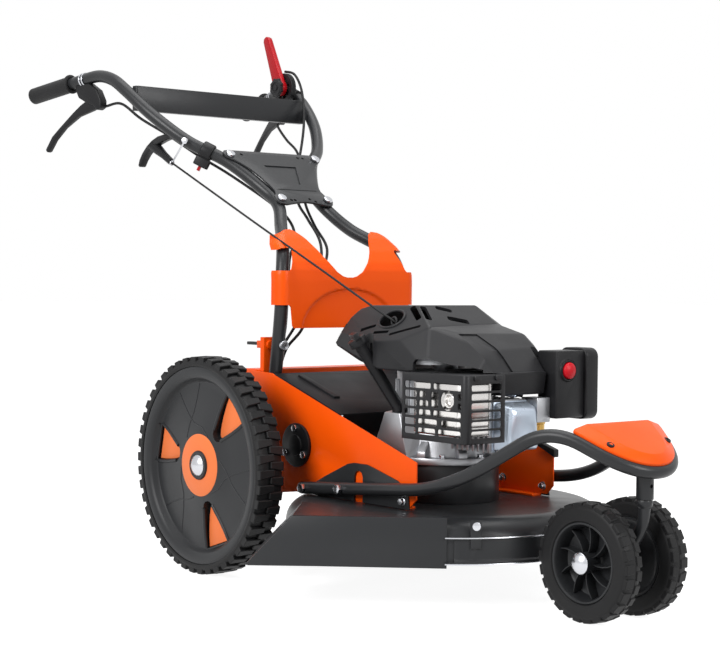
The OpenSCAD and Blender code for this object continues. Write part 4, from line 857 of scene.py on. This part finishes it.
mouth_ring = [at(*mouth_place) + Vector((x, y * 0.704, y * 0.71 + 0.02 * x)) / 1000
    for x, y in mouth + mouth[:1]]
eye = ring(7, 20)
guide_eye = [at(322, -108, 470) + Vector((x, 0, z)) / 1000 for x, z in eye + eye[:1]]
cowl = joined(cowl, tube_along(mouth_ring, 2.4, 10), tube_along(guide_eye, 2.2, 10))
fitted(cowl, "cowl_moulding", cowl_plastic, "engine_cowl")
shroud = hull_of([(412, -62, 346), (412, 46, 346), (540, -58, 350), (540, 46, 350),
                  (408, -64, 389), (408, 48, 389), (544, -60, 389), (544, 48, 389)])
fitted(rounded_off(shroud, 4, 3), "cylinder_shroud", black_plastic)

# Fuel, oil and air: a moulded tank under the cowl, a filler tube with its dipstick, and a cast carburettor
# with a brass float bowl. The air cleaner's moulded box carries a red rubber primer.
eased("fuel_tank", "tank_and_cap", black_plastic, 1.5)
eased("oil_filler", "oil_filler_tube", black_plastic, 1.5)
eased("carburettor", "carburettor_body", cast_alloy, 1.2)
brass = finish_of("cast_alloy", "dull_brass", (206, 170, 98), (186, 148, 78), 0.32, 0.08, 500, 0.05,
    metal=1.0)
bowl = turned([(0, 279.5), (5, 279.5), (5.4, 281.4), (13, 281.6), (15.2, 284), (15.4, 298), (16.6, 299),
               (16.6, 302), (0, 302)], 40)
fitted(level_at(rounded_off(bowl, 0), (529, 36, 0)), "float_bowl", brass)
eased("air_cleaner", "air_cleaner_box", black_plastic, 3.0, 3)
red_rubber = finish_of("red_rubber", "primer_red", (208, 16, 34), (192, 12, 28), 0.36, 0.04, 900, 0.05,
    shine=0.25)
primer_bulb = drawn_from("primer_button")
for corner in primer_bulb.data.vertices:
    if corner.co.x < at(557, 0, 0).x:
        corner.co.x += 0.0036
fitted(rounded_off(primer_bulb, 1.0), "primer_bulb", red_rubber, "primer_button", body="primer_button")

# Turning parts: a forged crankshaft with the cutter bar bolted under it, a cast flywheel on top and the
# starter's moulded reel above that.
eased("crankshaft", "crankshaft_forging", dull_steel, 0.8)
eased("blade", "cutter_bar", dull_steel, 0.8)
eased("flywheel", "flywheel_casting", cast_alloy, 0.8)
eased("starter_reel", "starter_reel_drum", black_plastic, 0.8)

# Handlebar: two 25 mm steel tubes bent in a waisted shape and painted grey, tied by a folded crossbar
# and a bolted waist plate with a pressed panel. Rubber grips are pushed over their ends.
handle_bends = [(28, -150, 340), (46, -150, 471.5), (44, -145.4, 547.6), (22, -127.7, 599.5),
    (-40, -85.8, 641), (-88, -57, 686), (-130, -62.9, 718.9), (-193.2, -106.1, 774.4), (-246.8, -163, 813),
    (-310.7, -205.9, 866.9), (-375.3, -226.9, 919.1), (-417.9, -232.2, 944.1), (-468, -235.9, 955),
    (-523, -244.9, 949)]
right_run = smooth_run(handle_bends, 10) + [Vector((-659, -276, 925.9))]
handle_pair = joined(*(tube_along([at(*p) for p in run], 12.5, 20) for run in (right_run,
    mirrored(right_run))))
fitted(handle_pair, "handle_tube_pair", grey_paint, "handle_tubes")
crossbar = drawn_from("crossbar")
for corner in crossbar.data.vertices:
    if corner.co.y < at(0, -198, 0).y:
        corner.co.y -= 0.008
fitted(rounded_off(crossbar, 1.2), "handle_crossbar", grey_paint, "crossbar")
half_plate = [(-16, 104), (-14, 114), (-6, 119), (4, 117), (16, 102), (28, 91), (40, 82), (55, 74), (72, 67),
              (92, 61), (108, 58), (120, 61), (128, 68), (140, 70), (150, 64), (154, 52), (150, 36),
              (146, 18),
              (144, 0)]
plate_place, plate_low, plate_high = (-193.2, 0, 774.4), 12.7, 16.7
plate_outline = half_plate + [(u, -v) for u, v in reversed(half_plate[:-1])]
plate = rounded_off(flat_blank(plate_outline, plate_low, plate_high), 0.8)
cut_away(plate, flat_blank([(29, -40), (29, 40), (88, 18), (88, -18)], plate_high - 2.1, 20))
cut_away(plate, flat_blank([(106, -47), (106, 47), (108, 47), (108, -47)], plate_high - 1, 20))
for u, v in ((-3, 64), (-3, 77), (-3, -77), (140, -34), (140, -25), (135, 14), (142, 25)):
    cut_away(plate, flat_blank([(u + x, v + y) for x, y in ring(3.4, 16)], 10, 20))
fitted(stood(rounded_off(plate, 0, sharp=30), plate_place, (0.7656, 0, -0.6434), (0, 1, 0)),
       "waist_plate", grey_paint, "gusset_plate")
eased("grips", "hand_grips", black_rubber, 2.0, 3)

# Leg shield: one orange panel moulded to lie against the tubes, its sides curled round them and its top
# laid back, with an arched panel pressed into its face and a wide notch above.
half_width, shield_low, shield_high, shield_skin = 186, 444, 641, 0.0026
curl_from, curl = 147, 18


def shield_lean(z):
    """How far forward the shield's face stands at a height: upright below, laid back above."""
    bends = ((400, 67), (540, 67), (560, 65.5), (575, 61), (597, 47), (622, 24), (645, -4))
    for (low, first), (high, last) in zip(bends, bends[1:]):
        if z <= high:
            return mix(first, last, (z - low) / (high - low))


bpy.ops.object.select_all(action="DESELECT")
bpy.ops.mesh.primitive_grid_add(x_subdivisions=110, y_subdivisions=64, size=1)
leg_shield = bpy.context.object
for corner in leg_shield.data.vertices:
    run, z = abs(corner.co.x) * 2 * half_width, mix(shield_low, shield_high, corner.co.y + 0.5)
    side = 1 if corner.co.x > 0 else -1
    turn = min(max(run - curl_from, 0) / curl, math.pi / 2)
    y = min(run, curl_from) + curl * math.sin(turn)
    back = curl * (1 - math.cos(turn)) + max(run - curl_from - curl * math.pi / 2, 0)
    y *= 1 - 0.10 * max(z - 553, 0) / 54 if z < 607 else 0.90 - 0.14 * (z - 607) / 33
    arch = (y / 116) ** 2 + ((z - 446) / 80) ** 2
    dent = 4.5 * min(max((1 - arch) / 0.06, 0), 1)
    corner.co = at(shield_lean(z) - back - dent, side * y, z)
ready(leg_shield)
bpy.ops.object.modifier_add(type="SOLIDIFY")
leg_shield.modifiers[-1].thickness = shield_skin
leg_shield.modifiers[-1].offset = 0
bpy.ops.object.modifier_apply(modifier=leg_shield.modifiers[-1].name)
half_shield = [(8, 546.5), (18, 549), (32, 557), (47, 573), (57, 585), (66, 599), (78, 618), (90, 631),
    (101, 637), (114, 635.5), (138, 624), (152, 607), (158, 594), (146, 600), (128, 601), (125, 597),
    (139, 562), (143, 558), (166, 558), (172, 553), (172, 494), (146, 494), (142, 490), (138, 455),
    (134, 451)]
shield_cut = flat_blank(half_shield + [(-y, z) for y, z in reversed(half_shield)], -100, 120)
leg_shield = rounded_off(cut_away(leg_shield, crosswise(shield_cut), "INTERSECT"), 0, sharp=40)
fitted(leg_shield, "leg_shield_panel", orange_paint, "leg_shield")

# Squeeze levers: black moulded brackets clamped to the tubes by bright bands, each with a curved lever and
# a cable adjuster. The throttle's box is clamped under the right tube.
throttle_box = drawn_from("control_brackets")
bpy.ops.object.mode_set(mode="EDIT")
bpy.ops.mesh.select_mode(type="VERT")
bpy.ops.mesh.select_all(action="DESELECT")
bpy.ops.object.mode_set(mode="OBJECT")
for corner in throttle_box.data.vertices:
    corner.select = corner.co.x < at(-300, 0, 0).x
bpy.ops.object.mode_set(mode="EDIT")
bpy.ops.mesh.delete(type="VERT")
bpy.ops.object.mode_set(mode="OBJECT")
fitted(rounded_off(throttle_box, 2.5, 3), "throttle_box", black_plastic, "control_brackets")


def square_to(direction):
    """Two directions square to a given one, for standing a turned piece along it."""
    along = Vector(direction).normalized()
    first = along.cross(Vector((0, 0, 1))).normalized()
    return first, along.cross(first)


bracket_edge = [(8, -9), (-32, -7), (-56, -22), (-68, -44), (-68, -58), (-56, -64), (-44, -54), (-22, -46),
                (-2, -36), (6, -22)]
lever_edge = [(-53, -46), (-61, -56), (-37, -64), (3, -74), (44, -96), (73, -120), (91, -143), (97, -145),
              (102, -139), (82, -112), (60, -95), (20, -66), (-3, -51), (-23, -41)]
band_outline = [(12.6, -1.8), (14.2, -1.8), (14.6, -1.2), (14.6, 1.2), (14.2, 1.8), (12.6, 1.8)]
adjuster = [(0, 0), (4.6, 0), (4.6, 5), (5.4, 5.4), (5.4, 9), (3.2, 9.6), (3.2, 18), (0, 18)]
up = Vector((0, 0, 1))
for side, body, hand in ((-1, "drive_lever", "right"), (1, "brake_lever", "left")):
    grip_root, rearward = Vector((-523, side * 244.9, 949)), Vector((-0.9748, side * 0.2229, 0))
    bracket = stood(rounded_off(flat_blank(bracket_edge, -9.5, 9.5), 3, 3), grip_root, rearward, up)
    lever = stood(rounded_off(flat_blank(lever_edge, -6.2, 6.2), 3.2, 3), grip_root, rearward, up)
    fitted(bracket, "lever_bracket_" + hand, black_plastic, "control_brackets")
    fitted(lever, "squeeze_lever_" + hand, black_plastic, body, body=body)
    tube_way = Vector((-55, side * 9, -6)).normalized()
    bands = [stood(rounded_off(turned(band_outline, 36, closed=True), 0), grip_root - gap * tube_way,
                   *square_to(tube_way)) for gap in (17, 9)]
    bands.append(stood(rounded_off(turned(adjuster, 20), 0), grip_root - 62 * rearward - 54 * up,
                       up, rearward.cross(up)))
    fitted(joined(*bands), "bright_bands_" + hand, bright_zinc)

# Red levers: the blade lever turns on a toothed black disc clamped to the left tube, under a knobbed cap.
# The throttle's tip is the same red plastic.
disc_place = (-414.9, 203.7, 960.1)
disc = turned([(5, -6), (5, 6), (12, 6), (13, 4), (23, 4), (24, 6), (32, 6), (33, 5), (33, -5), (32, -6)],
              72, closed=True)
windows = []
for k in range(8):
    opening = [(14 * math.cos(a), 14 * math.sin(a)) for a in (-0.3, 0, 0.3)]
    opening += [(22.5 * math.cos(a), 22.5 * math.sin(a)) for a in (0.28, 0, -0.28)]
    windows.append(turned_about_z(flat_blank(opening, -10, 10), 45 * k + 10))
disc = upright(rounded_off(cut_away(disc, joined(*windows)), 0, sharp=30), disc_place)
disc_arm = hull_of([(-431, 209, 941), (-399, 209, 941), (-428, 209, 966), (-402, 209, 966),
                    (-430, 224, 938), (-402, 224, 938), (-430, 228, 960), (-402, 228, 960)])
disc_ring = turned([(12.6, -9), (16, -9), (17, -8), (17, 8), (16, 9), (12.6, 9)], 36, closed=True)
disc_ring = stood(rounded_off(disc_ring, 0), (-417.9, 232.2, 944.1), *square_to((-92.7, 9, 35.9)))
fitted(joined(disc, rounded_off(disc_arm, 3, 3), disc_ring), "ratchet_disc", black_plastic,
    "control_brackets")
red_plastic = finish_of("red_plastic", "lever_red", (180, 8, 22), (164, 5, 18), 0.34, 0.04, 900, 0.05,
    shine=0.25)
eased("blade_lever", "blade_lever_handle", red_plastic, 2.0, 3)
eased("throttle_lever", "throttle_tip", red_plastic, 1.0)
cap = turned([(0, 0), (18, 0), (19, 1), (19, 6), (17.5, 8), (12, 8), (11, 6.4), (7, 6.4), (6, 8.4), (0, 8.4)],
    48)
cap = [rounded_off(cap, 0, sharp=30)]
for k in range(8):
    knob = rounded_off(flat_blank([(16, -4), (20.5, -3), (21.5, 0), (20.5, 3), (16, 4)], 0.5, 7), 1.0)
    cap.append(turned_about_z(knob, 45 * k + 20))
fitted(upright(joined(*cap), (disc_place[0], 184.4, disc_place[2])), "ratchet_cap", black_plastic)

# Hand pieces: the starter's moulded T-handle with its crescent bar, and the two black cam levers that
# clamp the feet of the handlebar.
crescent = [(-294, 831), (-320, 832), (-345, 829), (-366, 822), (-384, 812), (-400, 799), (-411, 786),
    (-417, 771), (-410, 769), (-400, 782), (-388, 793), (-374, 802), (-352, 811), (-325, 818), (-296, 823)]
grip_bar = upright(rounded_off(flat_blank(crescent, 156, 173), 3.6, 3))
grip_stem = turned([(0, -2), (6.2, -2), (7, 0), (8, 30), (10.5, 52), (12, 74), (0, 74)], 28)
grip_stem = stood(rounded_off(grip_stem, 0), (-304, -165, 776), *square_to((-0.87, 0, 0.49)))
fitted(joined(grip_bar, grip_stem), "starter_grip", black_plastic, "starter_handle", body="starter_handle")
for hand in ("right", "left"):
    eased("clamp_lever_" + hand, "cam_lever_" + hand, black_plastic, 1.2)

# Cables and rope: three black-sheathed cables led from the controls to the right tube's foot, and the
# starter's cord from its wire guide into the cowl's mouth. The guide and the frame's bolts are bright
# plated steel.
drive_cable = [(-491, -237, 897), (-464, -223, 894), (-418, -212, 897), (-358, -202, 863), (-296, -178, 828),
               (-252, -136, 788), (-212, -84, 749), (-130, -40, 690), (-80, -34, 655), (-30, -60, 620),
               (4, -98, 580), (20, -114, 520), (24, -122, 450), (18, -128, 410), (12, -130, 374)]
blade_cable = [(-414, 203, 997), (-380, 204, 987), (-354, 204, 947), (-323, 186, 877), (-288, 148, 800),
               (-226, 84, 745), (-150, 40, 695), (-84, 14, 660), (-20, -4, 610), (14, -34, 540),
               (22, -64, 480),
               (20, -82, 444), (16, -112, 412), (8, -122, 374)]
brake_cable = [(-491, 237, 897), (-464, 223, 879), (-418, 212, 848), (-362, 198, 818), (-290, 158, 769),
               (-216, 100, 735), (-150, 60, 690), (-90, 36, 648), (-30, 20, 600), (8, -30, 540),
               (16, -72, 480),
               (14, -98, 444), (8, -118, 410), (0, -120, 374)]
sheaths = [smooth_tube(run, 2.8, 12) for run in (drive_cable, blade_cable, brake_cable)]
fitted(joined(*sheaths), "cable_sheaths", black_rubber, "control_cables")
rope_run = [(-300.4, -165, 773), (-292, -164.3, 769.2), (-60, -145.9, 656.6), (120, -130.6, 570),
    (280, -116.6, 492), (306, -113.2, 479.5), (322, -109, 471), (330, -100, 462), (334, -84, 452)]
fitted(smooth_tube(rope_run, 2.0, 10), "pull_rope", black_rubber, "starter_rope", slot="rope")
eased("zinc_fittings", "bolts_and_guide", bright_zinc, 0.6)

# Rail brackets: grey pressed plates that stand between the side plates and the frame rails, each with an
# arched window, and the bolts that hold the plates.
plate_edge = [(178, 155), (181, 178), (205, 190), (272, 219), (288, 222), (325, 222), (342, 218), (405, 202),
              (432, 186), (436, 155)]
arch_edge = [(291, 150), (314, 150), (314, 199), (311, 206), (306, 209.5), (299, 209.5), (294, 206),
    (291, 199)]
rail_brackets = joined(*(upright(rounded_off(flat_blank(plate_edge, low, low + 3), 0.7))
    for low in (167.0, -170.0)))
cut_away(rail_brackets, upright(flat_blank(arch_edge, -300, 300)))
fitted(rounded_off(rail_brackets, 0, sharp=30), "rail_brackets", grey_paint, "frame_brackets")
plate_bolts = [upright(hex_bolt(11, 7, 16), place)
               for place in ((425, 162.6, 172), (323, 162.6, 178), (420, -170.2, 168))]
fitted(joined(*plate_bolts), "plate_bolts", bright_zinc)

# Edge trim: a rubber cap pushed over the left side plate's front corner, and thin bright plated strips at the
# top and foot of the deck's skirt: painted highlights that stand for the shine on its folded edges.
cap_edge = ((408, 254), (440, 242), (455, 240), (455, 226), (408, 246))
edge_cap = hull_of([(x, y, z) for y in (160, 172) for x, z in cap_edge])
fitted(rounded_off(edge_cap, 1.2, 2), "plate_edge_cap", black_rubber)
# Painted highlights: two bright plated strips along the skirt's dark painted edges, in place of their shine.
skirt_highlight_strips = [tube_along([at(*out_from_crank(a, 290.2, 0, z)) for a in range(-42, 63, 2)], 1.3, 8)
              for z in (124.5, 81.5)]
fitted(joined(*skirt_highlight_strips), "skirt_highlight_strips", bright_zinc)

bpy.context.view_layer.update()
